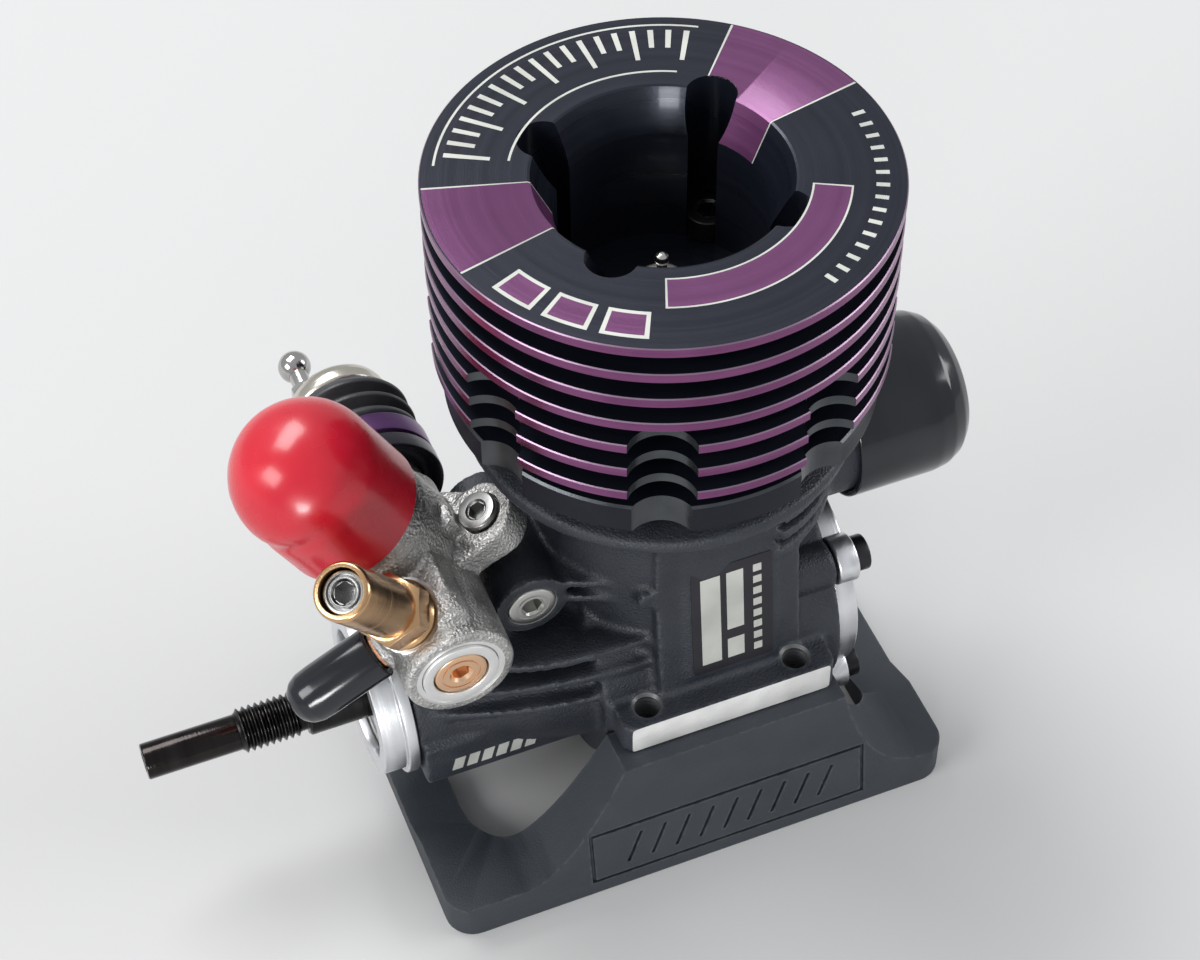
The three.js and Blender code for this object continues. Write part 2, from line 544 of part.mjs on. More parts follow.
// Low-speed adjuster in the barrel's near end.
add(carb, "adjuster_housing", "bareAluminium",
  alongY(join([ring(3.7, 5.05, -19.7, -12), ring(1.4, 5.05, -13.2, -12)])));
const mixtureScrew = join([rod(3.5, -19.5, -16.2), rod(1.2, -16.4, -5.5), rod(0.7, -5.6, -3)]);
add(carb, "low_speed_screw", "copper", alongY(mixtureScrew.subtract(hexSocket(2.2, -20, -17.6))));

// Idle-stop screw in the rear ear.
add(carb, "idle_stop_screw", "steel", capScrew(1.4, 6, 2.7, 2.6, 2.2), [12.2, -3, 2.4]);

// High-speed needle: brass housing, seal and the steel needle screw in its mouth.
const needle = frame(carb, [NEEDLE.x, NEEDLE.y, NEEDLE.z], [NEEDLE.lean, 0, 0]);
function needleHousing() {
  const n = NEEDLE;
  const tube = turned([
    [0, 0], [4.5, 0], [4.5, 1.6], [n.radius, 2], [n.radius, n.length - 0.3], [3.4, n.length], [0, n.length],
  ]);
  const hex = rod(8.2 / Math.sqrt(3), 2.2, 6.2, 6);
  return cut(join([tube, hex, rod(1.45, -2.2, 0.1)]), [rod(2.9, 8, n.length + 1), rod(0.8, -3, 9)]);
}
add(needle, "needle_housing", "brass", needleHousing());
add(needle, "main_needle", "steel", cut(
  join([rod(2.7, 13.4, NEEDLE.length - 0.9), rod(1.7, 9, 13.6), rod(0.6, -1, 9.2)]),
  [hexSocket(2.5, 16.5, 22), ring(1.9, 2.2, NEEDLE.length - 1.5, NEEDLE.length)]));
add(needle, "needle_seal", "blackRubber", solid(new THREE.TorusGeometry(2.28, 0.42, 6, 16)), [0, 0, 12.4]);

// Fuel nipple with its sealing washer.
add(carb, "fuel_nipple_washer", "copper", alongX(ring(1.7, 2.7, -7.75, -7.4)), [0, NIPPLE.y, NIPPLE.z]);
add(carb, "fuel_nipple", "nickelSteel", alongX(ring(0.7, 1.45, -7.9, -5.2).add(turned([
  [0.7, -17.5], [1.5, -17.5], [2.1, -16.3], [1.5, -15.6], [1.5, -9], [2.35, -8.9], [2.35, -7.85],
  [0.7, -7.85], [0.7, -17.5],
]))), [0, NIPPLE.y, NIPPLE.z]);

// Throttle slide and its end: boot clamp rings, boot, end disc and ball stud.
add(carb, "throttle_slide", "steel", alongY(cut(rod(CARB.slideRadius, -11, 28.2), [rod(2.4, -12, 1)])));
add(carb, "boot_flange", "blackAnodised", alongY(turned([
  [6.6, 12.4], [8.9, 12.4], [9.2, 12.8], [9.2, 15.1], [8.6, 15.3], [6.6, 15.3], [6.6, 12.4],
])));
add(carb, "boot_ring", "purpleAnodised", alongY(turned([
  [6.6, 15.5], [8.7, 15.5], [9.1, 15.9], [9.1, 19], [8.7, 19.3], [6.6, 19.3], [6.6, 15.5],
])));
add(carb, "throttle_boot", "blackRubber", alongY(turned([
  [5.4, 19.6], [8.6, 19.6], [8.8, 20.6], [7.1, 21.8], [8.9, 23.2], [7.1, 24.6], [8.8, 26], [8.2, 27.6],
  [6.4, 28], [5.4, 28], [5.4, 19.6],
])));
add(carb, "slide_end_disc", "nickelSteel", alongY(turned([
  [0, 28.4], [6.7, 28.4], [7, 28.9], [7, 30.2], [5.6, 32.4], [3.4, 33.2], [0, 33.2],
])));
const BALL_STUD = [-3.1, 0, 1.6];
const ball = solid(new THREE.SphereGeometry(2, 14, 10)).translate([0, 0, 39.8]);
const stud = join([rod(2.2, 33.4, 34.8, 6), rod(1.1, 34.6, 39), ball]);
add(carb, "ball_stud", "steel", alongY(stud), BALL_STUD);

// Transport caps on the intake, the fuel nipple and the exhaust stub.
add(carb, "intake_cap", "redVinyl", turned([
  [CARB.neck + 0.2, CARB.rim], [9.7, CARB.rim], [9.7, 25.1], [9.1, 28.6], [7.3, 31.8], [4.4, 34], [0, 34.8],
  [0, 34],
  [4, 33.2], [6.7, 31.2], [8.4, 28.2], [8.9, 25], [CARB.neck + 0.2, 22.4], [CARB.neck + 0.2, CARB.rim],
]));
add(carb, "fuel_cap", "blackVinyl", alongX(turned([
  [0, -21.4], [1.9, -21.1], [3.2, -20], [3.6, -18.4], [3.6, -8], [2.6, -8], [2.6, -18], [1.4, -19.6],
  [0, -19.9],
])), [0, NIPPLE.y, NIPPLE.z]);
add(engine, "exhaust_cap", "blackVinyl", alongX(turned([
  [10.5, 24.2], [11.3, 24.2], [11.3, 36.8], [10.4, 39.9], [8, 41.9], [5, 42.6], [0, 42.8], [0, 42],
  [4.8, 41.8], [7.6, 41.1], [9.7, 39.4], [10.5, 36.6], [10.5, 24.2],
])), [0, 0, EXHAUST.height]);

export default bench;
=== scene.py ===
from math import atan2, cos, exp, radians, sin, sqrt, tau

import bmesh
import bpy
from mathutils import Matrix, Vector


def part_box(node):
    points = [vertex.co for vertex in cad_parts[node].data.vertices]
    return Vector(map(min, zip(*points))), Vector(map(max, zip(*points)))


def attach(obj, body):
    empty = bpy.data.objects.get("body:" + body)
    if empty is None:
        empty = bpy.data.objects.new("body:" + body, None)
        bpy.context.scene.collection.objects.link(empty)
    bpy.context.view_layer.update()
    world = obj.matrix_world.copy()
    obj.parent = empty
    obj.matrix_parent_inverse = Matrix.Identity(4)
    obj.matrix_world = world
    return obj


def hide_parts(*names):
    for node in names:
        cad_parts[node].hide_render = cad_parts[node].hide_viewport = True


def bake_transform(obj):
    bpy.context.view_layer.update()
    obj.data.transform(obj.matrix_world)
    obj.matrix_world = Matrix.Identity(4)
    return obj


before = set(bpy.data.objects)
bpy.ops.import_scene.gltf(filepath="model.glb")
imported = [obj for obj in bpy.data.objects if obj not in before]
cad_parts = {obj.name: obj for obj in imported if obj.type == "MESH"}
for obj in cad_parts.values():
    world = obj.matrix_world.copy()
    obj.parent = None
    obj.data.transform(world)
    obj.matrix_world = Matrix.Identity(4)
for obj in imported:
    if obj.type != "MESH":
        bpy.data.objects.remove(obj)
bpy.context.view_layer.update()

# Bench stand. A moulded cradle in fine-grained black plastic that holds the engine upright by its lugs:
# two swept side walls, low lips at both ends and a slot down to the table. Its long walls carry a
# plain sunk panel with slanted grip grooves.


def middle(node):
    low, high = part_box(node)
    return (low + high) / 2


# Pieces are shaped in millimetres from the cylinder's axis, on the crankshaft's line or on the table.
BENCH = Matrix.Translation((middle("cylinder_liner").x, 0, 0)) @ Matrix.Scale(0.001, 4)
ENGINE = Matrix.Translation((middle("cylinder_liner").x, 0, middle("crankshaft").z)) @ Matrix.Scale(0.001, 4)
ALONG_X = Matrix.Rotation(radians(90), 4, "Y")
ALONG_Y = Matrix.Rotation(radians(-90), 4, "X")


def at(x, y, z):
    return Matrix.Translation((x, y, z))


def about_z(angle):
    return Matrix.Rotation(radians(angle), 4, "Z")


def placed(shape, *moves):
    """The shape after its moves, the last one first, as matrices are read."""
    matrix = Matrix.Identity(4)
    for move in moves:
        matrix = matrix @ move
    bmesh.ops.transform(shape, matrix=matrix, verts=shape.verts)
    return shape


def prism(outline, low, high):
    """A flat outline of (x, y) corners raised along +Z."""
    shape = bmesh.new()
    base = shape.faces.new([shape.verts.new((x, y, low)) for x, y in outline])
    raised = bmesh.ops.extrude_face_region(shape, geom=[base])["geom"]
    top = [part for part in raised if isinstance(part, bmesh.types.BMVert)]
    bmesh.ops.translate(shape, vec=(0, 0, high - low), verts=top)
    bmesh.ops.recalc_face_normals(shape, faces=shape.faces)
    return shape


def block(low, high):
    shape = bmesh.new()
    bmesh.ops.create_cube(shape, size=1)
    size = Vector(high) - Vector(low)
    return placed(shape, Matrix.Translation(Vector(low) + size / 2), Matrix.Diagonal((*size, 1)))


def bevelled(shape, width, sharper=40, segments=3, upright=False):
    """Rounds the edges that turn more sharply than an angle, or only those that stand along Z."""
    edges = []
    for edge in shape.edges:
        if len(edge.link_faces) != 2 or edge.calc_face_angle(0) < radians(sharper):
            continue
        along = (edge.verts[0].co - edge.verts[1].co).normalized()
        if not upright or abs(along.z) > 0.99:
            edges.append(edge)
    bmesh.ops.bevel(shape, geom=edges, offset=width, segments=segments, profile=0.5, affect="EDGES",
                    clamp_overlap=True, material=-1)
    return shape


def carrier(shape):
    mesh = bpy.data.meshes.new("work")
    shape.to_mesh(mesh)
    shape.free()
    holder = bpy.data.objects.new("work", mesh)
    bpy.context.scene.collection.objects.link(holder)
    return holder


def result_of(holder, helpers=()):
    result = bmesh.new()
    result.from_object(holder, bpy.context.evaluated_depsgraph_get())
    for used in (holder, *helpers):
        mesh = used.data
        bpy.data.objects.remove(used)
        bpy.data.meshes.remove(mesh)
    return result


def carved(shape, *tools, operation="DIFFERENCE"):
    """The shape after each tool is cut from it, joined to it (UNION) or crossed with it (INTERSECT)."""
    body = carrier(shape)
    blades = [carrier(tool) for tool in tools]
    for blade in blades:
        step = body.modifiers.new("step", "BOOLEAN")
        step.object = blade
        step.operation = operation
        step.solver = "MANIFOLD"
    return result_of(body, blades)


def curve(start, bend, end, count=14):
    """Points along a simple bend between two corners, without its last one."""
    start, bend, end = Vector(start), Vector(bend), Vector(end)
    steps = [i / count for i in range(count)]
    return [tuple(start * (1 - t) ** 2 + bend * 2 * t * (1 - t) + end * t * t) for t in steps]


def shader_group(name, inputs, outputs):
    """An empty shader node group with named inputs (name, type, value) and outputs (name, type)."""
    tree = bpy.data.node_groups.new(name, "ShaderNodeTree")
    for label, kind, value in inputs:
        socket = tree.interface.new_socket(name=label, in_out="INPUT", socket_type=kind)
        if value is not None:
            socket.default_value = value
    for label, kind in outputs:
        tree.interface.new_socket(name=label, in_out="OUTPUT", socket_type=kind)
    return tree, tree.nodes.new("NodeGroupInput"), tree.nodes.new("NodeGroupOutput")


def math_node(tree, operation, first, second=None, clamp=False):
    node = tree.nodes.new("ShaderNodeMath")
    node.operation = operation
    node.use_clamp = clamp
    for socket, value in zip(node.inputs, (first, second)):
        if isinstance(value, bpy.types.NodeSocket):
            tree.links.new(value, socket)
        elif value is not None:
            socket.default_value = value
    return node.outputs[0]


def range_node(tree, value, low, high, to_low=0.0, to_high=1.0):
    node = tree.nodes.new("ShaderNodeMapRange")
    tree.links.new(value, node.inputs["Value"])
    for label, number in (("From Min", low), ("From Max", high), ("To Min", to_low), ("To Max", to_high)):
        node.inputs[label].default_value = number
    return node.outputs["Result"]


def noise_node(tree, vector, scale, detail=2.0):
    node = tree.nodes.new("ShaderNodeTexNoise")
    node.inputs["Detail"].default_value = detail
    tree.links.new(vector, node.inputs["Vector"])
    if isinstance(scale, bpy.types.NodeSocket):
        tree.links.new(scale, node.inputs["Scale"])
    else:
        node.inputs["Scale"].default_value = scale
    return node.outputs["Fac"]


def grain_group():
    """Fine grain of a casting, a moulding or a blasted face: a height, specks and broad patches."""
    tree, entry, leave = shader_group(
        "surface_grain", [("Vector", "NodeSocketVector", None), ("Size", "NodeSocketFloat", 0.0003)],
        [("Height", "NodeSocketFloat"), ("Specks", "NodeSocketFloat"), ("Patches", "NodeSocketFloat")])
    vector = entry.outputs["Vector"]
    scale = math_node(tree, "DIVIDE", 1.0, entry.outputs["Size"])
    fine = noise_node(tree, vector, scale, 3.0)
    cells = tree.nodes.new("ShaderNodeTexVoronoi")
    tree.links.new(vector, cells.inputs["Vector"])
    tree.links.new(math_node(tree, "MULTIPLY", scale, 0.8), cells.inputs["Scale"])
    mixed = math_node(tree, "ADD", fine, math_node(tree, "MULTIPLY", cells.outputs["Distance"], 0.6))
    tree.links.new(mixed, leave.inputs["Height"])
    tree.links.new(range_node(tree, fine, 0.56, 0.74), leave.inputs["Specks"])
    tree.links.new(range_node(tree, noise_node(tree, vector, 160.0), 0.3, 0.7), leave.inputs["Patches"])
    return tree


def turning_group():
    """Marks that a lathe leaves round an axis: a height of fine rings and broader bands."""
    tree, entry, leave = shader_group(
        "turning_marks", [("Vector", "NodeSocketVector", None), ("Pitch", "NodeSocketFloat", 0.0002)],
        [("Height", "NodeSocketFloat"), ("Bands", "NodeSocketFloat")])
    parts = tree.nodes.new("ShaderNodeSeparateXYZ")
    tree.links.new(entry.outputs["Vector"], parts.inputs[0])
    square = [math_node(tree, "MULTIPLY", parts.outputs[i], parts.outputs[i]) for i in (0, 1)]
    reach = math_node(tree, "SQRT", math_node(tree, "ADD", *square))
    travel = math_node(tree, "ADD", reach, math_node(tree, "MULTIPLY", parts.outputs[2], 0.83))
    for label, wide in (("Height", 1.0), ("Bands", 9.0)):
        turns = math_node(tree, "DIVIDE", travel, math_node(tree, "MULTIPLY", entry.outputs["Pitch"], wide))
        rings = tree.nodes.new("ShaderNodeTexNoise")
        rings.noise_dimensions = "1D"
        rings.inputs["Scale"].default_value = 1.0
        rings.inputs["Detail"].default_value = 2.0
        tree.links.new(turns, rings.inputs["W"])
        tree.links.new(rings.outputs["Fac"], leave.inputs[label])
    return tree


def wear_group():
    """Edges made bright, partly as rubbed wear and partly as a painted highlight: where the surface turns within
    a small radius, broken up by noise.
    """
    tree, entry, leave = shader_group(
        "edge_wear",
        [("Vector", "NodeSocketVector", None), ("Radius", "NodeSocketFloat", 0.0003),
         ("Amount", "NodeSocketFloat", 1.0)], [("Mask", "NodeSocketFloat")])
    rounded = tree.nodes.new("ShaderNodeBevel")
    rounded.samples = 4
    tree.links.new(entry.outputs["Radius"], rounded.inputs["Radius"])
    facing = tree.nodes.new("ShaderNodeNewGeometry")
    aligned = tree.nodes.new("ShaderNodeVectorMath")
    aligned.operation = "DOT_PRODUCT"
    tree.links.new(rounded.outputs[0], aligned.inputs[0])
    tree.links.new(facing.outputs["Normal"], aligned.inputs[1])
    turn = range_node(tree, aligned.outputs["Value"], 1.0, 0.86)
    broken = range_node(tree, noise_node(tree, entry.outputs["Vector"], 900.0, 4.0), 0.38, 0.62)
    mask = math_node(tree, "MULTIPLY", math_node(tree, "MULTIPLY", turn, broken), entry.outputs["Amount"],
                     True)
    tree.links.new(mask, leave.inputs["Mask"])
    return tree


GRAIN, TURNING, WEAR_AND_HIGHLIGHT = grain_group(), turning_group(), wear_group()


def finish(name, dark, light, rough, metal, grain, depth, axis=None, pitch=0.00025, marks=0.0, worn=None,
           wear=0.0, wear_radius=0.0003, sparkle=0.0, coat=0.0, coat_rough=0.08):
    """A finish between two colours with its grain, its lathe marks round an axis and its brightened edges, which
    are rubbed wear on some finishes and a painted highlight on others.
    """
    material = bpy.data.materials.new(name)
    material.use_nodes = True
    tree = material.node_tree
    shader = tree.nodes["Principled BSDF"]
    shader.inputs["Metallic"].default_value = metal
    shader.inputs["Coat Weight"].default_value = coat
    shader.inputs["Coat Roughness"].default_value = coat_rough
    here = tree.nodes.new("ShaderNodeTexCoord").outputs["Object"]

    def group(kind, **values):
        node = tree.nodes.new("ShaderNodeGroup")
        node.node_tree = kind
        tree.links.new(here, node.inputs["Vector"])
        for label, value in values.items():
            node.inputs[label].default_value = value
        return node

    texture = group(GRAIN, Size=grain)
    blend = texture.outputs["Patches"]
    if sparkle:
        specks = math_node(tree, "MULTIPLY", texture.outputs["Specks"], sparkle)
        blend = math_node(tree, "ADD", math_node(tree, "MULTIPLY", blend, 0.4), specks, True)
    height = math_node(tree, "MULTIPLY", texture.outputs["Height"], depth)
    rough_from = texture.outputs["Patches"]
    if marks:
        centred = tree.nodes.new("ShaderNodeMapping")
        centred.vector_type = "TEXTURE"
        centred.inputs["Location"].default_value = axis.to_translation()
        centred.inputs["Rotation"].default_value = axis.to_euler()
        tree.links.new(here, centred.inputs["Vector"])
        lathe = group(TURNING, Pitch=pitch)
        tree.links.new(centred.outputs["Vector"], lathe.inputs["Vector"])
        height = math_node(tree, "ADD", height, math_node(tree, "MULTIPLY", lathe.outputs["Height"], marks))
        blend = math_node(tree, "ADD", math_node(tree, "MULTIPLY", blend, 0.4),
                          math_node(tree, "MULTIPLY", lathe.outputs["Bands"], 0.7), True)
        rough_from = lathe.outputs["Bands"]
    colour = tree.nodes.new("ShaderNodeMix")
    colour.data_type = "RGBA"
    colour.inputs["A"].default_value = (*dark, 1)
    colour.inputs["B"].default_value = (*light, 1)
    tree.links.new(blend, colour.inputs["Factor"])
    shown = colour.outputs["Result"]
    # Edge colour: rubbed wear on some finishes, a painted highlight along the edges on others.
    if wear:
        brightened_edge = tree.nodes.new("ShaderNodeMix")
        brightened_edge.data_type = "RGBA"
        tree.links.new(group(WEAR_AND_HIGHLIGHT, Radius=wear_radius, Amount=wear).outputs["Mask"], brightened_edge.inputs["Factor"])
        tree.links.new(shown, brightened_edge.inputs["A"])
        brightened_edge.inputs["B"].default_value = (*worn, 1)
        shown = brightened_edge.outputs["Result"]
    tree.links.new(shown, shader.inputs["Base Color"])
    tree.links.new(range_node(tree, rough_from, 0.25, 0.75, *rough), shader.inputs["Roughness"])
    bump = tree.nodes.new("ShaderNodeBump")
    bump.inputs["Distance"].default_value = 1.0
    tree.links.new(height, bump.inputs["Height"])
    tree.links.new(bump.outputs["Normal"], shader.inputs["Normal"])
    return material


def piece(name, shape, materials, body, replaced=(), place=ENGINE, sharper=32):
    """Names a finished shape, gives it its finishes and hangs it on its body of the model."""
    placed(shape, place)
    mesh = bpy.data.meshes.new(name)
    shape.to_mesh(mesh)
    shape.free()
    for material in materials:
        mesh.materials.append(material)
    mesh.shade_smooth()
    mesh.set_sharp_from_angle(angle=radians(sharper))
    shown = bpy.data.objects.new(name, mesh)
    bpy.context.scene.collection.objects.link(shown)
    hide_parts(*replaced)
    if body:
        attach(shown, body)
    return shown


STAND = {"front": -41.5, "rear": 33.5, "side": 27.8, "top_side": 25, "top": 22.7, "lip": 5.7, "dip": 3.2}
CYCLE = Matrix(((0, 0, 1, 0), (1, 0, 0, 0), (0, 1, 0, 0), (0, 0, 0, 1)))


def stand_shape():
    s = STAND
    ledge_front, ledge_rear = -15.2, 17.4
    outline = [(s["front"], 0), (s["rear"], 0), (s["rear"], s["lip"])]
    outline += curve((ledge_rear + 11.6, s["lip"]), (ledge_rear + 3, s["lip"] + 1), (ledge_rear, s["top"]))
    outline += [(ledge_rear, s["top"])]
    outline += curve((ledge_front, s["top"]), (ledge_front - 9.3, s["lip"]), (ledge_front - 15.8, s["lip"]))
    outline += [(ledge_front - 15.8, s["lip"]), (s["front"], s["lip"])]
    walls = placed(prism(outline, -s["side"], s["side"]), Matrix.Rotation(radians(90), 4, "X"))
    plan = bevelled(block((s["front"], -s["side"], 0), (s["rear"], s["side"], s["top"])), 4, 40, 8, True)
    draft = [(-s["side"], 0), (s["side"], 0), (s["side"], 3), (s["top_side"], s["top"]),
             (-s["top_side"], s["top"]), (-s["side"], 3)]
    drafted = placed(prism(draft, s["front"] - 1, s["rear"] + 1), CYCLE)
    slot = bevelled(block((-34, -18.4, -1), (26.5, 18.4, 30)), 6, 40, 10, True)
    dip = [(-15, s["lip"]), (-9, s["dip"]), (9, s["dip"]), (15, s["lip"]), (15, 30), (-15, 30)]
    troughs = placed(prism(dip, s["front"] - 1, s["rear"] + 1), CYCLE)
    body = carved(carved(walls, plan, drafted, operation="INTERSECT"), slot, troughs)
    bmesh.ops.remove_doubles(body, verts=body.verts, dist=1e-3)
    bmesh.ops.dissolve_limit(body, angle_limit=radians(1.5), verts=body.verts, edges=body.edges)
    return bevelled(body, 0.55, 38, 3)


def sunk_panel():
    """Grooves of the plain panel, laid flat: a frame and a row of slanted bars."""
    low, high, left, right, groove = 2.2, 11.4, -21.2, 19.6, 0.55
    bars = [block((left, low, 0), (right, low + groove, 1)),
            block((left, high, 0), (right, high + groove, 1)),
            block((left, low, 0), (left + groove, high + groove, 1)),
            block((right, low, 0), (right + groove, high + groove, 1))]
    for i in range(9):
        foot = left + 5.2 + i * 3.6
        bars.append(prism([(foot, low + 2.2), (foot + groove, low + 2.2), (foot + 2.2 + groove, high - 1.6),
                           (foot + 2.2, high - 1.6)], 0, 1))
    return bars


tilt = Matrix.Rotation(radians(90 - 8.1), 4, "X")
grooves = []
for turn in (0, 180):
    flip = about_z(turn)
    grooves += [placed(bar, flip, at(0, -27.78 + 0.05, 2.6), tilt,
                       at(0, -2.2, -0.45)) for bar in sunk_panel()]
moulded_plastic = finish(
    "moulded_plastic", (0.019, 0.024, 0.031), (0.026, 0.032, 0.040), (0.5, 0.62), 0.0, 0.00022, 0.000035,
    worn=(0.09, 0.095, 0.105), wear=0.6, wear_radius=0.0006)
piece("stand_moulding", carved(stand_shape(), *grooves), [moulded_plastic], "stand",
      ["bench_stand"], BENCH, 28)

# Crankcase. One pressure casting in aluminium with a rough black coating: nose, crank chamber, cylinder
# column with its rings, swept ribs, exhaust stub and carburettor seat. The lugs' sides, the bores and
# the threaded holes are machined bare after coating. The threads are painted a dark grey, painted shade
# inside the holes, and the coating's lighter edge colour is a painted highlight along the casting's edges.


def turned(profile, edge=0.0, steps=96, sweep=tau):
    """A shape spun about +Z from (radius, height) points, with its corners rounded by an edge size."""
    shape = bmesh.new()
    corners = [shape.verts.new((radius, 0, height)) for radius, height in profile]
    for pair in zip(corners, corners[1:]):
        shape.edges.new(pair)
    bmesh.ops.remove_doubles(shape, verts=shape.verts, dist=1e-5)
    if edge:
        bends = [v for v in shape.verts if len(v.link_edges) == 2 and v.co.x > 1e-6]
        bmesh.ops.bevel(shape, geom=bends, offset=edge, segments=3, profile=0.5, affect="VERTICES",
                        clamp_overlap=True, material=-1)
    bmesh.ops.spin(shape, geom=shape.verts[:] + shape.edges[:], cent=(0, 0, 0), axis=(0, 0, 1),
                   angle=sweep, steps=steps, use_merge=sweep == tau)
    bmesh.ops.remove_doubles(shape, verts=shape.verts, dist=1e-4)
    if sweep != tau:
        bmesh.ops.holes_fill(shape, edges=[e for e in shape.edges if e.is_boundary])
    bmesh.ops.recalc_face_normals(shape, faces=shape.faces)
    return shape


def rod(radius, low, high, edge=0.0, steps=64):
    return turned([(0, low), (radius, low), (radius, high), (0, high)], edge, steps)


def ring(inner, outer, low, high, edge=0.0, steps=96):
    return turned([(inner, low), (outer, low), (outer, high), (inner, high), (inner, low)], edge, steps)


def together(*shapes):
    """Several shapes in one, each as it is."""
    whole = bmesh.new()
    for shape in shapes:
        scratch = bpy.data.meshes.new("scratch")
        shape.to_mesh(scratch)
        shape.free()
        whole.from_mesh(scratch)
        bpy.data.meshes.remove(scratch)
    return whole


def cast(shape, grid, passes):
    """One skin over overlapping solids, its corners filled and softened as a casting's are."""
    holder = carrier(shape)
    skin = holder.modifiers.new("skin", "REMESH")
    skin.mode = "VOXEL"
    skin.voxel_size = grid
    soft = holder.modifiers.new("soft", "SMOOTH")
    soft.factor = 0.5
    soft.iterations = passes
    return result_of(holder)


def machined(shape):
    """Marks a cutter's faces, so that what it cuts takes the piece's second finish."""
    for face in shape.faces:
        face.material_index = 1
    return shape


CARB_LEAN = -28
CARB_IN_ENGINE = at(middle("throttle_slide").x * 1000 - middle("cylinder_liner").x * 1000, 0,
                    (middle("throttle_slide").z - middle("crankshaft").z) * 1000) \
    @ Matrix.Rotation(radians(CARB_LEAN), 4, "Y")
CARB = ENGINE @ CARB_IN_ENGINE
QUARTERS = (45, 135, 225, 315)
HEAD_SCREW_REACH, PLATE_SCREW_REACH = 15.5, 17


def case_casting():
    parts = [
        placed(turned([(0, -43), (10.4, -43), (10.4, -39.4), (11.6, -39.4), (11.8, -34), (13.4, -25),
                       (15.4, -14), (0, -14)]), ALONG_X),
        placed(rod(17.9, -15, 20), ALONG_X),
        turned([(0, 33), (17.2, 33), (18.2, 36.4), (20.8, 38.8), (25.3, 40.3), (25.6, 41.1), (25.3, 42.2),
                (22, 43.2),
                (0, 43.2)], steps=128),
        placed(rod(15.9, 21, 43, steps=128), at(5, 0, 0)),
        turned([(0, 6), (17.2, 6), (17.2, 39.5), (20.5, 43.6), (24.3, 45.9), (25.0, 46.7), (25.0, 49.3),
                (24.6, 49.7), (0, 49.7)], steps=128),
        placed(prism([(-19, 2.9), (19, 2.9), (16.6, 24), (-16.6, 24)], -7.5, 13), CYCLE),
        placed(prism([(-16.6, 23), (16.6, 23), (16.6, 43), (-16.6, 43)], -7.5, 9.4), CYCLE),
        bevelled(block((-14.2, -22.9, -1.1), (17, 22.9, 3.9)), 2, 40, 6, True),
        placed(rod(10.3, 8, 36), at(0, 0, 27.4), ALONG_X),
        placed(rod(11.4, 14, 19.6), at(0, 0, 27.4), ALONG_X),
        placed(rod(9.2, -19, -8.5), CARB_IN_ENGINE),
        placed(rod(5.0, -10.3, 10.3), at(-22.2, 0, 20.5), ALONG_Y),
        block((-39.2, -12.6, -8), (-14, 12.6, -0.6)),
    ]
    for side in (-1, 1):
        for height in (4.2, 8.6, 13):
            reach = side * (17.0 - height * 0.08)
            start = -37 if height < 9 else -28
            outline = [(start, 0), (start, side * (10.9 if height < 9 else 13))]
            outline += curve((start, side * (10.9 if height < 9 else 13)), (-22, reach + side * 0.6),
                             (-6, reach))
            outline += [(-6, reach), (-6, 0)]
            parts.append(prism(outline[:1] + outline[2:], height - 0.75, height + 0.75))
        for height in (19.6, 22.6):
            web = [(-19, 0), (-19, side * 9.6), (-7, side * 14.6), (-7, 0)]
            parts.append(prism(web, height - 0.6, height + 0.6))
        parts.append(placed(rod(1.7, 0, 1.6, steps=6), at(-8.2, side * 15.8, 22), ALONG_Y, at(0, 0, -0.8)))
        label = placed(block((-3.4, 2.6, 0), (9.6, 23.4, 0.9)), at(0, side * 19, 2.9),
                       Matrix.Rotation(radians(90 + side * 6.4), 4, "X"), at(0, 0, -0.45))
        parts.append(label)
    for i in range(5):
        low = 23.6 + 3.6 * i
        parts.append(carved(placed(ring(13, 18.2 + 0.25 * i, low, low + 1.7, steps=128), at(5, 0, 0)),
                            block((9.9, -24, 0), (21, 24, 50)), operation="INTERSECT"))
    for angle in QUARTERS:
        parts.append(placed(rod(3.3, 9, 20), ALONG_X, about_z(angle), at(PLATE_SCREW_REACH, 0, 0)))
        parts.append(placed(rod(3.4, 34, 47), about_z(angle), at(HEAD_SCREW_REACH, 0, 0)))
    return cast(together(*parts), 0.48, 2)


def case_machining():
    cuts = [
        placed(rod(7.2, -45, -10), ALONG_X), placed(rod(9.6, -45, -36.5), ALONG_X),
        placed(rod(12.8, -18.9, -12.3), ALONG_X), placed(rod(13.3, -12.4, -4), ALONG_X),
        placed(rod(15.3, -4.9, 21), ALONG_X), rod(10.6, 0, 50), rod(12.5, 47.6, 51),
        placed(rod(7.0, -19, 0), CARB_IN_ENGINE), placed(rod(9.3, -8.7, 4), CARB_IN_ENGINE),
        placed(rod(7, 8, 37), at(0, 0, 27.4), ALONG_X), block((8, -7, 24), (14.4, 7, 37.4)),
        block((-13.6, -3.5, 15), (-8, 3.5, 35.4)), block((-20, -30, 49.65), (30, 30, 52)),
        block((20, -25, -25), (22, 25, 18)), block((-46, -12, -12), (-42.95, 12, 12)),
    ]
    for side in (-1, 1):
        cuts.append(placed(rod(3.45, 6.9, 11), at(-22.2, 0, 20.5),
                           Matrix.Rotation(radians(-90 * side), 4, "X")))
        cuts.append(placed(rod(1.9, 0, 11), at(-22.2, 0, 20.5), Matrix.Rotation(radians(-90 * side), 4, "X")))
        low, high = sorted((side * 8, side * 13.4))
        cuts.append(block((-5, low, 6), (5, high, 35.4)))
        low, high = sorted((side * 22.62, side * 26))
        cuts.append(block((-20, low, -3), (20, high, 6)))
    for angle in QUARTERS:
        cuts.append(placed(rod(1.3, 10.5, 21), ALONG_X, about_z(angle), at(PLATE_SCREW_REACH, 0, 0)))
        cuts.append(placed(rod(1.65, 36.5, 51), about_z(angle), at(HEAD_SCREW_REACH, 0, 0)))
    return [machined(cut) for cut in cuts]


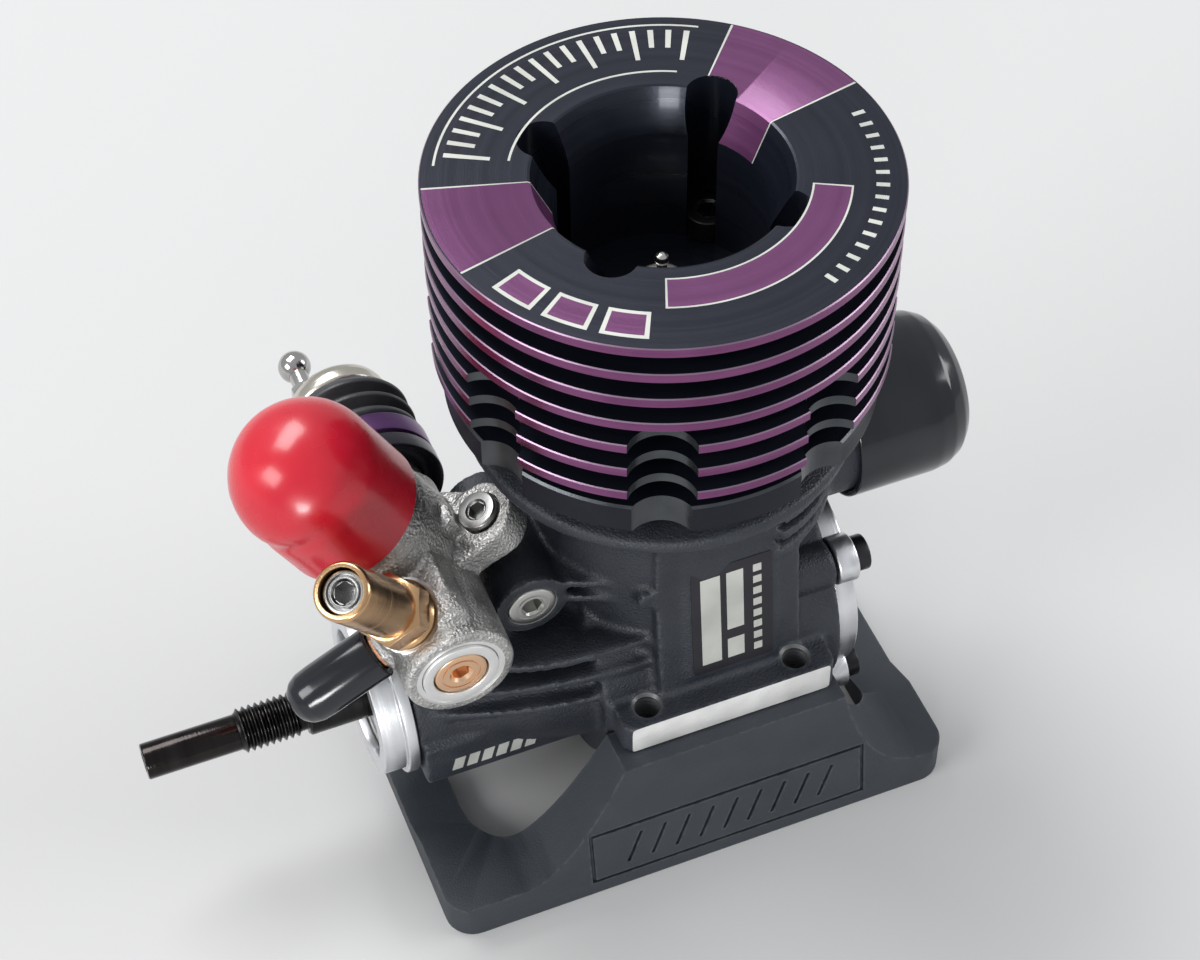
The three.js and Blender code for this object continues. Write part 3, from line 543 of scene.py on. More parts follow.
def lug_holes():
    """Tapped holes through the lugs, drilled after the coating; their faces take a dark grey, painted shade
    inside the holes.
    """
    drill = [(0, -3), (1.75, -3)]
    for i in range(6):
        drill += [(1.75, -1 + i * 0.7), (1.95, -0.65 + i * 0.7)]
    drill += [(1.75, 3.3), (1.75, 3.4), (2.15, 3.8), (2.15, 6), (0, 6)]
    holes = [placed(turned(drill, steps=40), at(x, side * 19.4, 0)) for side in (-1, 1) for x in (-9.75, 12)]
    for face in (face for hole in holes for face in hole.faces):
        face.material_index = 2
    return holes


# The coating's lighter edge colour is a painted highlight along the ribs' and the casting's edges.
black_coating = finish(
    "black_coating", (0.016, 0.0195, 0.0265), (0.024, 0.028, 0.037), (0.42, 0.55), 0.2, 0.00028, 0.00009,
    worn=(0.11, 0.12, 0.135), wear=0.8, wear_radius=0.0008)
milled_aluminium = finish(
    "milled_aluminium", (0.56, 0.56, 0.55), (0.74, 0.74, 0.73), (0.45, 0.6), 0.5, 0.0005, 0.00003)
case_label_black = finish("case_label_black", (0.012, 0.012, 0.016), (0.018, 0.017, 0.023), (0.3, 0.4), 0.3,
                          0.0004,
                          0.000006)
engraved_silver = finish("engraved_silver", (0.40, 0.41, 0.38), (0.52, 0.53, 0.49), (0.45, 0.6), 0.3, 0.0003,
                         0.00001)
# A dark grey metal for the tapped holes: painted shade inside them.
tapped_hole_painted_shade = finish("tapped_hole_painted_shade", (0.10, 0.105, 0.11), (0.17, 0.175, 0.18), (0.35, 0.5), 0.6, 0.0003,
                       0.00001)
piece("crankcase_casting", carved(case_casting(), *lug_holes(), *case_machining()),
      [black_coating, milled_aluminium, tapped_hole_painted_shade],
      "engine", ["crankcase"], sharper=40)

# Case markings. A smooth black plate on the near flank with plain silver bars, and a row of slanted silver
# dashes on the panel under the nose, both laser-marked and generic.
ON_FLANK = at(0, -19, 2.9) @ Matrix.Rotation(radians(90 - 6.4), 4, "X")
label_marks = [block((-1.5, 5.0, 0.5), (1.3, 21.0, 0.56)), block((2.2, 10.4, 0.5), (4.6, 21.0, 0.56)),
               block((2.2, 5.0, 0.5), (4.6, 8.6, 0.56))]
for i in range(8):
    label_marks.append(block((6.0, 5.0 + i * 2.1, 0.5), (7.2, 6.3 + i * 2.1, 0.56)))
label_plate = bevelled(block((-2.8, 3.4, 0.2), (8.8, 22.6, 0.53)), 0.6, 40, 4, True)
label = together(label_plate, *[machined(mark) for mark in label_marks])
piece("case_label", placed(label, ON_FLANK), [case_label_black, engraved_silver], "engine")
dashes = []
for i in range(6):
    foot = -35.6 + i * 2.1
    dashes.append(prism([(foot, -6.4), (foot + 1.5, -6.4), (foot + 2.1, -4.0), (foot + 0.6, -4.0)], -0.2,
                        0.05))
piece("nose_dashes", placed(together(*dashes), at(0, -12.6, 0), Matrix.Rotation(radians(90), 4, "X")),
      [engraved_silver], "engine")

# Nose ring. A plain bare aluminium ring turned from bar and pressed over the crankcase's nose, with a
# thin flange behind its front band.
def turned_metal(name, dark, light, rough, place, metal=1.0, marks=0.000012, pitch=0.00022, **more):
    """A lathe-turned metal, its marks running round the given place's own +Z."""
    return finish(name, dark, light, rough, metal, 0.0004, 0.000006, axis=place, pitch=pitch, marks=marks,
                  **more)


ON_CRANK = ENGINE @ ALONG_X
turned_aluminium = turned_metal("turned_aluminium", (0.60, 0.61, 0.63), (0.86, 0.87, 0.89), (0.24, 0.42),
                                ON_CRANK)
piece("nose_band", turned([
    (9.1, -44.5), (11.6, -44.5), (11.6, -41.3), (12.4, -41.3), (12.4, -39.7), (10.6, -39.7), (10.6, -43.2),
    (9.1, -43.2), (9.1, -44.5)], 0.22, 128), [turned_aluminium], "engine", ["nose_ring"],
    ON_CRANK)

# Main bearings. Ground steel races with brass cages; the front one is closed by a pressed steel shield
# that shows grey inside the nose ring.
ground_steel = turned_metal("ground_steel", (0.42, 0.42, 0.41), (0.60, 0.60, 0.59), (0.2, 0.32), ON_CRANK)
shield_steel = turned_metal("shield_steel", (0.16, 0.17, 0.18), (0.26, 0.27, 0.28), (0.3, 0.42), ON_CRANK)
pressed_brass = finish("pressed_brass", (0.48, 0.29, 0.11), (0.60, 0.38, 0.16), (0.25, 0.4), 1.0, 0.0005,
                       0.00001)
piece("front_shield_plate", turned([
    (5.1, -42.75), (5.1, -42.95), (5.5, -43.0), (5.9, -42.85), (7.2, -42.85), (7.5, -43.05), (7.9, -42.95),
    (7.9, -42.75), (5.1, -42.75)], 0.05), [shield_steel], "engine", ["front_bearing_shield"],
    ON_CRANK)
piece("front_outer_race", turned([
    (8.2, -42.7), (9.5, -42.7), (9.5, -36.7), (8.2, -36.7), (8.2, -38.4), (7.57, -39.1), (7.57, -40.3),
    (8.2, -41.0),
    (8.2, -42.7)], 0.12), [ground_steel], "engine", ["front_bearing_outer"], ON_CRANK)
piece("front_inner_race", turned([
    (3.55, -42.7), (4.85, -42.7), (4.85, -41.0), (5.23, -40.3), (5.23, -39.1), (4.85, -38.4), (4.85, -36.7),
    (3.55, -36.7), (3.55, -42.7)], 0.1), [ground_steel], "crank", ["front_bearing_inner"], ON_CRANK)


def refinish(material, *nodes):
    """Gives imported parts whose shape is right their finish."""
    for node in nodes:
        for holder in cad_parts[node].material_slots:
            holder.material = material


refinish(ground_steel, "rear_bearing_outer", "rear_bearing_inner")
refinish(pressed_brass, "rear_bearing_cage", "front_bearing_cage")

# Crankshaft. Case-hardened steel with a black oxide finish: a counterweighted web and pin, a hollow
# journal with the inlet window, a fine thread for the clutch nut and a ground pilot at its end.
black_oxide = turned_metal("black_oxide", (0.010, 0.010, 0.011), (0.030, 0.029, 0.029), (0.22, 0.36),
                           ON_CRANK,
                           worn=(0.16, 0.15, 0.14), wear=0.8, wear_radius=0.0003)
pilot_steel = turned_metal("pilot_steel", (0.016, 0.014, 0.014), (0.040, 0.035, 0.034), (0.12, 0.2), ON_CRANK)


def crank_shape():
    thread = []
    for i in range(9):
        start = -61.4 + i * 0.9
        thread += [(2.62, start), (2.7, start + 0.12), (3.12, start + 0.4), (3.12, start + 0.5),
                   (2.7, start + 0.78)]
    journal = placed(turned([(0, -61.7), (2.5, -61.6), *thread, (2.6, -53.2), (2.6, -52.3), (3.2, -52.3),
                             (3.5, -52),
                             (3.5, -36.4), (7, -36.2), (7, -12), (0, -12)], 0.03), ALONG_X)
    pilot = machined(turned([(0, -74.6), (2.5, -74.6), (2.5, -61.5), (0, -61.5)], 0.25))
    web = bevelled(placed(rod(12.8, -12.1, -5.5), ALONG_X), 0.3)
    pin = placed(rod(2.75, -6, -2.9, 0.2), at(0, 0, 8.4), ALONG_X)
    whole = carved(journal, placed(pilot, ALONG_X), web, pin, operation="UNION")
    cuts = [placed(rod(4.8, -33, -4), ALONG_X), block((-31, -6.2, 3.2), (-21, 6.2, 8)),
            placed(turned([(0, -75), (1.7, -75), (1.25, -74.2), (1.25, -64), (0, -63.4)]), ALONG_X)]
    for side in (-1, 1):
        low, high = sorted((side * 5.2, side * 14))
        cuts.append(bevelled(block((-11, low, 1), (-5, high, 14)), 0.8))
    return carved(whole, *cuts)


piece("crank_forging", crank_shape(), [black_oxide, pilot_steel], "crank", ["crankshaft"])

# Cylinder set. A chromed brass liner flanged at its top, a flat-crowned aluminium piston on a hollow
# pin, and a milled rod with bronze bushes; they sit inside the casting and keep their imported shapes.
BORE = ENGINE
bronze = finish("bronze", (0.42, 0.25, 0.12), (0.52, 0.33, 0.17), (0.28, 0.42), 1.0, 0.0005, 0.00001)
lapped_metal = turned_metal("lapped_metal", (0.55, 0.55, 0.54), (0.72, 0.72, 0.71), (0.2, 0.34), BORE)
rod_alloy = finish("rod_alloy", (0.50, 0.50, 0.49), (0.66, 0.66, 0.65), (0.3, 0.45), 1.0, 0.0006, 0.00002)
refinish(bronze, "cylinder_liner", "rod_big_end_bush", "rod_small_end_bush")
refinish(lapped_metal, "piston", "wrist_pin")
refinish(rod_alloy, "connecting_rod")
refinish(black_oxide, "wrist_pin_clip_front", "wrist_pin_clip_rear")

# Head button and glow plug. The turned aluminium button carries the combustion chamber and sits on a
# copper shim; the nickel-plated plug screws into it, its steel post standing up in a white ceramic.
button_aluminium = turned_metal("button_aluminium", (0.55, 0.56, 0.57), (0.75, 0.76, 0.77), (0.26, 0.4), BORE)
shim_copper = turned_metal("shim_copper", (0.62, 0.30, 0.17), (0.74, 0.40, 0.24), (0.25, 0.4), BORE)
plug_nickel = turned_metal("plug_nickel", (0.40, 0.38, 0.34), (0.56, 0.54, 0.49), (0.2, 0.34), BORE)
post_steel = turned_metal("post_steel", (0.46, 0.45, 0.43), (0.66, 0.65, 0.62), (0.16, 0.28), BORE)
white_ceramic = finish("white_ceramic", (0.66, 0.63, 0.56), (0.76, 0.73, 0.67), (0.35, 0.5), 0.0, 0.0002,
                       0.00001)
refinish(button_aluminium, "head_button")
refinish(shim_copper, "head_shim")
refinish(white_ceramic, "glow_plug_insulator")


def hexagon(across, low, high, edge=0.0):
    """A hexagonal prism across its flats, its end corners turned off where an edge is given."""
    prism_shape = rod(across / sqrt(3), low, high, steps=6)
    if not edge:
        return prism_shape
    reach = across / sqrt(3) + 0.02
    dome = turned([(0, low), (reach - edge * 1.8, low), (reach, low + edge), (reach, high - edge),
                   (reach - edge * 1.8, high), (0, high)], steps=72)
    return carved(prism_shape, dome, operation="INTERSECT")


plug = carved(turned([(0, 52.7), (2.4, 52.7), (3.8, 54), (3.8, 57.8), (0, 57.8)], 0.1),
              hexagon(8, 57.7, 61.4, 0.45), rod(3.1, 61.2, 62.4, 0.15), operation="UNION")
piece("plug_body", carved(plug, rod(1.75, 61.6, 63), rod(1.6, 52, 56)), [plug_nickel], "engine",
      ["glow_plug"])
piece("plug_post", turned([(0, 61.8), (0.65, 61.8), (0.65, 64.9), (0.45, 65.2), (0.9, 65.7), (1, 66.1),
                           (0.8, 66.6),
                           (0.3, 66.9), (0, 66.9)], 0.08), [post_steel], "engine",
                           ["glow_plug_post"])

# Cooling head. Turned from bar, anodised black, then its seven rims turned again and anodised purple. A
# bowl leads down to the plug past four drilled pockets for the screws, eight scallops are milled in its
# lower rims, and its base flange has a skirt that comes down round the case's top.
HEAD = {"radius": 28.8, "bottom": 50, "top": 80, "fins": 7, "pitch": 4.07, "fin": 1.4, "root": 21.5}
POCKET, FLOOR = 3.2, 57.7


def pockets():
    return [placed(rod(POCKET, FLOOR, 81, steps=48), about_z(angle),
                   at(HEAD_SCREW_REACH, 0, 0)) for angle in QUARTERS]


def head_shape():
    h = HEAD
    outline = [(12.7, h["bottom"]), (25.1, h["bottom"]), (25.1, 47.0), (27.4, 47.0), (27.7, 47.3),
               (27.7, 51.2),
               (27.4, 51.5), (h["root"], 51.5)]
    for i in range(h["fins"] - 1, -1, -1):
        upper = h["top"] - i * h["pitch"]
        lower = upper - h["fin"]
        outline += [(h["root"], lower), (h["radius"] - 0.1, lower), (h["radius"], lower + 0.1),
                    (h["radius"], upper - 0.14), (h["radius"] - 0.14, upper)]
        outline += [(h["root"], upper)] if i else []
    outline += [(16.0, h["top"]), (15.7, h["top"] - 0.15), (13.2, h["top"] - 5.4), (13.1, h["top"] - 5.8),
                (13.1, FLOOR), (6.3, FLOOR), (6.3, 56.2), (12.7, 56.2), (12.7, h["bottom"])]
    body = turned(outline, 0.0, 160)
    # The fins' upper chamfers take a brighter purple-grey, a painted highlight. On the flange the chamfers take
    # the scallops' grey as painted highlight lines, and the outer face a darker, duller black, painted shade.
    for face in body.faces:
        centre = face.calc_center_median()
        rim = centre.xy.length > h["radius"] - 0.2 and abs(face.normal.z) < 0.3
        edge = centre.xy.length > 27.3 and 0.3 < face.normal.z < 0.95
        flange = centre.z < 53 and centre.xy.length > 27
        face.material_index = (3 if abs(face.normal.z) > 0.3 else 4) if flange else 1 if rim else 2 if edge else 0
    cuts = pockets() + [placed(rod(1.65, 49, 58.7), about_z(angle),
                               at(HEAD_SCREW_REACH, 0, 0)) for angle in QUARTERS]
    for i in range(8):
        scallop = rod(4.4, 46, 65.6, steps=56)
        for face in scallop.faces:
            face.material_index = 3
        cuts.append(placed(scallop, about_z(22.5 + 45 * i), at(29.9, 0, 0)))
    return carved(body, *cuts)


black_anodised = turned_metal("black_anodised", (0.009, 0.011, 0.019), (0.015, 0.018, 0.030), (0.26, 0.36),
                              BORE,
                              metal=0.55, marks=0.000008, pitch=0.00016, coat=0.15)
purple_anodised = turned_metal("purple_anodised", (0.13, 0.038, 0.11), (0.24, 0.08, 0.20), (0.22, 0.34), BORE,
                               metal=0.9, marks=0.00001, pitch=0.00012)
# A brighter purple-grey on the fins' upper chamfers: a painted highlight.
painted_rim_highlight = turned_metal("painted_rim_highlight", (0.22, 0.14, 0.21), (0.34, 0.24, 0.33), (0.3, 0.42), BORE)
# The scallops' own grey, also laid on the flange's chamfers as painted highlight lines.
scallop_grey_and_flange_highlight = finish("scallop_grey_and_flange_highlight", (0.045, 0.050, 0.056), (0.085, 0.092, 0.10), (0.26, 0.36), 0.8,
                       0.0004, 0.00001)
# A darker, duller black with little reflection for the flange's outer face: painted shade over the anodised
# black.
flange_black_painted_shade = turned_metal("flange_black_painted_shade", (0.006, 0.007, 0.011), (0.011, 0.012, 0.018), (0.34, 0.46), BORE,
                            metal=0.0)
flange_black_painted_shade.node_tree.nodes["Principled BSDF"].inputs["Specular IOR Level"].default_value = 0.12
piece("finned_head", head_shape(), [black_anodised, purple_anodised, painted_rim_highlight, scallop_grey_and_flange_highlight,
                                    flange_black_painted_shade],
      "engine", ["cooling_head"], sharper=18)

# Head markings. A plain pattern engraved and anodised into the head's top: two broad purple bands and
# a purple arc with fine silver outlines, and rows of plain silver blocks and dashes.


def plate(inner, outer, start, end, rise, base=80.0):
    """A thin flat sector of the head's top between two radii and two angles."""
    shape = turned([(inner, base), (outer, base), (outer, base + rise), (inner, base + rise), (inner, base)],
                   0.0, max(4, int((end - start) / 1.5)), radians(end - start))
    return placed(shape, about_z(start))


def band(start, end, rise):
    """A sector that runs in from the rim and on down the bowl's cone."""
    shape = turned([(28.5, 79.98), (28.5, 80 + rise), (15.95, 80 + rise), (15.66 - rise, 79.85),
                    (13.2 - rise, 74.7),
                    (13.25, 74.6), (15.9, 79.8), (28.5, 79.98)], 0.0, int((end - start) / 1.5),
                    radians(end - start))
    return carved(placed(shape, about_z(start)), *pockets())


purple_dye = turned_metal("purple_dye", (0.105, 0.030, 0.095), (0.150, 0.045, 0.135), (0.26, 0.36), BORE,
                          metal=0.5,
                          marks=0.000008, pitch=0.00016, coat=0.15)
silver_marks = [band(12, 50, 0.02), band(163, 194, 0.02), plate(17.6, 22.4, -112, -28, 0.02)]
purple_marks = [band(12.6, 49.4, 0.035), band(163.6, 193.4, 0.035), plate(17.85, 22.15, -111.3, -28.7, 0.035)]
silver_marks += [plate(27.0, 27.3, 58, 155, 0.02), plate(18.2, 18.5, 62, 151, 0.02)]
for i in range(19):
    long = i % 3 == 0
    silver_marks.append(plate(20.6 if long else 22.8, 26.2, 60 + i * 5, 61.6 + i * 5, 0.02))
for i in range(3):
    silver_marks.append(plate(23.0, 27.2, 202 + i * 15, 214 + i * 15, 0.02))
    purple_marks.append(plate(23.5, 26.7, 203.2 + i * 15, 212.8 + i * 15, 0.035))
for i in range(15):
    silver_marks.append(plate(25.0, 26.6, -66 + i * 4.8, -64.6 + i * 4.8, 0.02))
piece("head_silver_marks", together(*silver_marks), [engraved_silver], "engine")
piece("head_purple_marks", together(*purple_marks), [purple_dye], "engine")

# Head screws. Four black socket cap screws in the bowl's pockets clamp the head and its button down.


def cap_screw(shank, length, head, height, socket):
    """A socket cap screw standing on z = 0: its head above, its shank below."""
    body = together(rod(shank, -length, 0.0, 0.15, 24))
    whole = carved(body, rod(head, -0.01, height, 0.25, 48), operation="UNION")
    return carved(whole, hexagon(socket, height * 0.4, height + 1),
                  turned([(0, height - 0.25), (socket / sqrt(3), height - 0.25),
                          (socket / sqrt(3) + 0.35, height + 0.1),
                          (0, height + 0.1)], steps=36))


screw_black = finish("screw_black", (0.014, 0.014, 0.016), (0.030, 0.030, 0.033), (0.26, 0.4), 0.7, 0.0003,
                     0.00001,
                     worn=(0.2, 0.2, 0.2), wear=0.9, wear_radius=0.00025)
for number, angle in enumerate(QUARTERS, 1):
    piece(f"bowl_screw_{number}", placed(cap_screw(1.5, 20, 3, 3.2, 2.5), about_z(angle),
                                         at(HEAD_SCREW_REACH, 0, FLOOR + 0.1)),
          [screw_black], "engine", [f"head_screw_{number}"])

# Rear cover. A turned aluminium plate with four lobes, spigoted into the crank chamber on a rubber
# ring and held by four small black cap screws.


def cover_shape():
    plate_disc = rod(16.3, 20.2, 23.3, 0.3, 128)
    lobes = [placed(rod(3.4, 20.2, 23.3, 0.3, 40), about_z(angle),
                    at(PLATE_SCREW_REACH, 0, 0)) for angle in QUARTERS]
    spigot = turned([(0, 17.2), (15.1, 17.2), (15.1, 18), (13.9, 18), (13.9, 19.4), (15.1, 19.4),
                     (15.1, 20.3),
                     (0, 20.3)])
    whole = carved(plate_disc, *lobes, spigot, operation="UNION")
    drills = [placed(rod(1.4, 19, 24, steps=24), about_z(angle),
                     at(PLATE_SCREW_REACH, 0, 0)) for angle in QUARTERS]
    return carved(whole, rod(10.5, 16, 19.2), ring(8.5, 11, 22.8, 24, 0.2), rod(2.2, 22.9, 24, 0.2), *drills)


black_rubber = finish("black_rubber", (0.018, 0.019, 0.023), (0.028, 0.029, 0.034), (0.42, 0.56), 0.0, 0.0004,
                      0.00003)
piece("rear_cover_plate", cover_shape(), [turned_aluminium], "engine", ["backplate"],
      ON_CRANK)
refinish(black_rubber, "backplate_oring")
for number, angle in enumerate(QUARTERS, 1):
    seat = Matrix.Rotation(radians(angle), 4, "X") @ at(23.4, 0, PLATE_SCREW_REACH) @ ALONG_X
    piece(f"cover_screw_{number}", placed(cap_screw(1.15, 10, 2.5, 2, 2), seat), [screw_black], "engine",
          [f"backplate_screw_{number}"])

# Pinch bolt. A steel cap screw across the casting behind the carburettor and the round sleeve nut that
# it pulls in from the other side; together they clamp the carburettor's stem.
ON_PINCH = ENGINE @ at(-22.2, 0, 20.5) @ ALONG_Y
bright_steel = turned_metal("bright_steel", (0.46, 0.46, 0.44), (0.66, 0.66, 0.63), (0.22, 0.36), ON_PINCH)
sleeve = carved(rod(3.25, -10.4, -7.2, 0.25, 64), hexagon(2.5, -12, -7.7), ring(2.0, 2.3, -12, -10.3),
                turned([(0, -10.6), (1.75, -10.6), (1.4, -10.1), (0, -10.1)], steps=36))
piece("clamp_sleeve", sleeve, [bright_steel], "engine", ["pinch_sleeve"], ON_PINCH)
piece("clamp_bolt", placed(cap_screw(1.6, 12.6, 3.2, 3.2, 2.5), at(0, 0, 7)), [bright_steel], "engine",
      ["pinch_bolt"], ON_PINCH)

# Carburettor body. A bead-blasted aluminium casting: throttle barrel across the engine, intake neck
# leaning forward, needle and nipple bosses and the stop screw's ear, bored and faced after casting.
NEEDLE = at(-1.2, -13, 7.8) @ Matrix.Rotation(radians(19.4), 4, "X")
NIPPLE = at(0, -11.3, 3) @ ALONG_X


def carb_casting():
    parts = [
        placed(turned([(0, -19.5), (7.0, -19.5), (7.3, -19.1), (7.3, 10), (6.4, 10.4), (6.4, 18.7),
                       (0, 18.7)]), ALONG_Y),
        turned([(0, -15), (6.8, -15), (6.8, -7.4), (8.7, -7.4), (8.7, 2), (9.2, 5), (9.2, 12.6), (8.5, 13.3),
                (8.5, 22), (0, 22)]),
        placed(rod(4.9, -9.5, -0.1), NEEDLE),
        placed(rod(3.6, -7.3, 1), NIPPLE),
        block((-5.6, -13.5, -3), (5.6, 0, 9)),
        prism([(4, -8), (12.2, -7.4), (12.2, 1.4), (4, 8)], -0.6, 3.4),
        placed(rod(4.5, -1, 4), at(12.2, -3, 0)),
        block((4, -4.4, 0), (10, -1.6, 8.4)),
        placed(rod(2.5, -17.2, -6, 1.2, 32), at(3.6, 0, 6.1), ALONG_Y),
    ]
    return cast(together(*parts), 0.3, 9)


def carb_machining():
    cuts = [
        placed(rod(5.0, -17, 20), ALONG_Y), placed(rod(5.15, -20.5, -11.8), ALONG_Y),
        placed(ring(4.5, 5.9, -20.5, -19.25, steps=96), ALONG_Y),
        rod(4.6, -16, 6), turned([(0, 5), (4.6, 5), (6.9, 23), (0, 23)]),
        placed(rod(1.6, -2.6, 1), NEEDLE), placed(rod(4.9, -0.2, 24), NEEDLE),
        placed(rod(1.6, -8, -5), NIPPLE),
        placed(rod(1.6, -7, 5), at(12.2, -3, 0)), placed(rod(3.0, 2.1, 8), at(12.2, -3, 0)),
    ]
    return [machined(cut) for cut in cuts]


ON_BARREL = CARB @ ALONG_Y
blasted_aluminium = finish(
    "blasted_aluminium", (0.28, 0.277, 0.27), (0.78, 0.77, 0.75), (0.34, 0.5), 0.9, 0.00034, 0.00018,
    sparkle=0.9, worn=(0.75, 0.74, 0.72), wear=0.5, wear_radius=0.0006)
faced_aluminium = turned_metal("faced_aluminium", (0.70, 0.70, 0.69), (0.88, 0.88, 0.87), (0.38, 0.5),
                               ON_BARREL)
piece("carb_casting", carved(carb_casting(), *carb_machining()), [blasted_aluminium, faced_aluminium],
      "engine",
      ["carb_body"], CARB, 38)
refinish(black_rubber, "carb_seat_oring")

# Low-speed adjuster. A plain turned bush closes the barrel's near end, and the copper-coloured screw
# inside it, with its hexagonal socket, sets the idle mixture.
bush = carved(ring(3.7, 5.05, -19.7, -12, 0.12), ring(1.4, 5.05, -13.2, -12), operation="UNION")
piece("adjuster_bush", bush, [faced_aluminium], "engine", ["adjuster_housing"], ON_BARREL)
mixture_copper = turned_metal("mixture_copper", (0.70, 0.42, 0.25), (0.88, 0.60, 0.40), (0.24, 0.38),
                              ON_BARREL)
mixture_screw = carved(rod(3.5, -19.6, -16.2, 0.3), rod(1.2, -16.4, -5.5, 0.1, 32),
                       rod(0.7, -5.6, -3, 0.1, 24),
                       operation="UNION")
mixture_screw = carved(mixture_screw, hexagon(2.2, -21, -17.6), ring(2.35, 2.6, -21, -19.45),
                       turned([(0, -19.8), (1.75, -19.8), (1.25, -19.2), (0, -19.2)], steps=36))
piece("mixture_screw", mixture_screw, [mixture_copper], "low_speed_needle", ["low_speed_screw"],
      ON_BARREL)

# Idle-stop screw. A small steel socket screw in the ear behind the neck.
ON_EAR = CARB @ at(12.2, -3, 2.4)
ear_steel = turned_metal("ear_steel", (0.20, 0.20, 0.20), (0.34, 0.34, 0.33), (0.24, 0.36), ON_EAR)
piece("stop_screw", cap_screw(1.4, 6, 2.7, 2.6, 2.2), [ear_steel], "idle_stop", ["idle_stop_screw"],
      ON_EAR)

# High-speed needle. A turned brass housing with a hexagon screws into its boss; the steel needle screw
# sits inside its mouth, with a socket and a groove in its end.
ON_NEEDLE = CARB @ NEEDLE
polished_brass = turned_metal("polished_brass", (0.46, 0.27, 0.13), (0.72, 0.46, 0.25), (0.16, 0.28),
                              ON_NEEDLE,
                              worn=(0.8, 0.6, 0.42), wear=0.6, wear_radius=0.0003)
tube = turned([(0, 0), (4.5, 0), (4.5, 1.6), (4.1, 2), (3.7, 2.3), (3.7, 20.6), (3.4, 21), (0, 21)], 0.15)
housing = carved(tube, hexagon(8.2, 2.2, 6.2, 0.5), rod(1.45, -2.2, 0.1, steps=32), operation="UNION")
housing = carved(housing, rod(2.9, 8, 22), rod(0.8, -3, 9, steps=24))
piece("needle_tube", housing, [polished_brass], "engine", ["needle_housing"], ON_NEEDLE)
needle_steel = turned_metal("needle_steel", (0.20, 0.20, 0.20), (0.38, 0.38, 0.37), (0.18, 0.3), ON_NEEDLE)
screw = carved(rod(2.7, 13.4, 20.1, 0.2), rod(1.7, 9, 13.6, 0.1, 40), rod(0.6, -1, 9.2, 0.1, 24),
               operation="UNION")
screw = carved(screw, hexagon(2.5, 17.2, 22), ring(1.95, 2.25, 19.6, 22),
               turned([(0, 20.3), (1.75, 20.3), (1.4, 19.7), (0, 19.7)][::-1], steps=36))
piece("needle_screw", screw, [needle_steel], "high_speed_needle", ["main_needle"], ON_NEEDLE)
refinish(black_rubber, "needle_seal")

# Fuel nipple. A nickel-plated barb on a copper washer; its black cap hides it until it is pulled off.
ON_NIPPLE = CARB @ NIPPLE
nipple_nickel = turned_metal("nipple_nickel", (0.42, 0.41, 0.37), (0.58, 0.56, 0.52), (0.2, 0.34), ON_NIPPLE)
refinish(nipple_nickel, "fuel_nipple")
refinish(shim_copper, "fuel_nipple_washer")

# Throttle slide. A ground steel slide in the barrel leaves it through a black flange, a purple clamp
# ring and a folded rubber boot, and ends in a nickel disc with the steel ball stud for the linkage.
slide_steel = turned_metal("slide_steel", (0.42, 0.42, 0.41), (0.58, 0.58, 0.57), (0.16, 0.28), ON_BARREL)
refinish(slide_steel, "throttle_slide")
collar_black = turned_metal("collar_black", (0.012, 0.012, 0.018), (0.028, 0.026, 0.038), (0.2, 0.32),
                            ON_BARREL,
                            metal=0.6, coat=0.2)
ring_purple = turned_metal("ring_purple", (0.070, 0.030, 0.095), (0.14, 0.060, 0.18), (0.2, 0.32), ON_BARREL,
                           metal=0.85)
piece("boot_collar", turned([(6.6, 12.4), (8.9, 12.4), (9.2, 12.8), (9.2, 15.1), (8.6, 15.3), (6.6, 15.3),
                             (6.6, 12.4)], 0.15), [collar_black], "engine", ["boot_flange"],
      ON_BARREL)
piece("boot_clamp", turned([(6.6, 15.5), (8.7, 15.5), (9.1, 15.9), (9.1, 19), (8.7, 19.3), (6.6, 19.3),
                            (6.6, 15.5)], 0.15), [ring_purple], "engine", ["boot_ring"],
                            ON_BARREL)
bellows = piece("bellows_boot", turned([
    (5.4, 19.6), (8.4, 19.6), (8.8, 20.1), (8.7, 20.8), (7.3, 21.6), (7.3, 22.0), (8.8, 22.8), (8.8, 23.5),
    (7.3, 24.4),
    (7.3, 24.8), (8.7, 25.6), (8.7, 26.2), (8.0, 27.4), (6.4, 28), (5.4, 28), (5.4, 19.6)], 0.3),
    [black_rubber], None,
    ["throttle_boot"], ON_BARREL)
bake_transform(bellows)
disc_nickel = turned_metal("disc_nickel", (0.52, 0.49, 0.42), (0.72, 0.69, 0.61), (0.16, 0.28), ON_BARREL)
piece("end_disc", turned([(0, 28.4), (6.7, 28.4), (7, 28.9), (7, 30.2), (6.6, 31.3), (5.6, 32.3), (3.4, 33.2),
                          (0, 33.2)], 0.2), [disc_nickel], "throttle", ["slide_end_disc"],
                          ON_BARREL)
ON_STUD = ON_BARREL @ Matrix.Translation(ALONG_Y.inverted() @ Vector((-3.1, 0, 1.6)))
ball_steel = turned_metal("ball_steel", (0.40, 0.39, 0.38), (0.60, 0.59, 0.57), (0.08, 0.16), ON_STUD)
BALL = 2.3
round_side = [(BALL * sqrt(1 - (h / 10) ** 2), 39.4 + BALL * h / 10) for h in range(-8, 9)]
ball = turned([(0, 37.4), *round_side, (1.1, 41.2), (0.9, 41.0), (0.9, 40.3), (0, 40.1)], 0.0, 48)
stud = carved(ball, rod(1.35, 34.6, 39, 0.1, 32), hexagon(3.8, 33.4, 34.8, 0.3), operation="UNION")
piece("linkage_ball", stud, [ball_steel], "throttle", ["ball_stud"], ON_STUD)

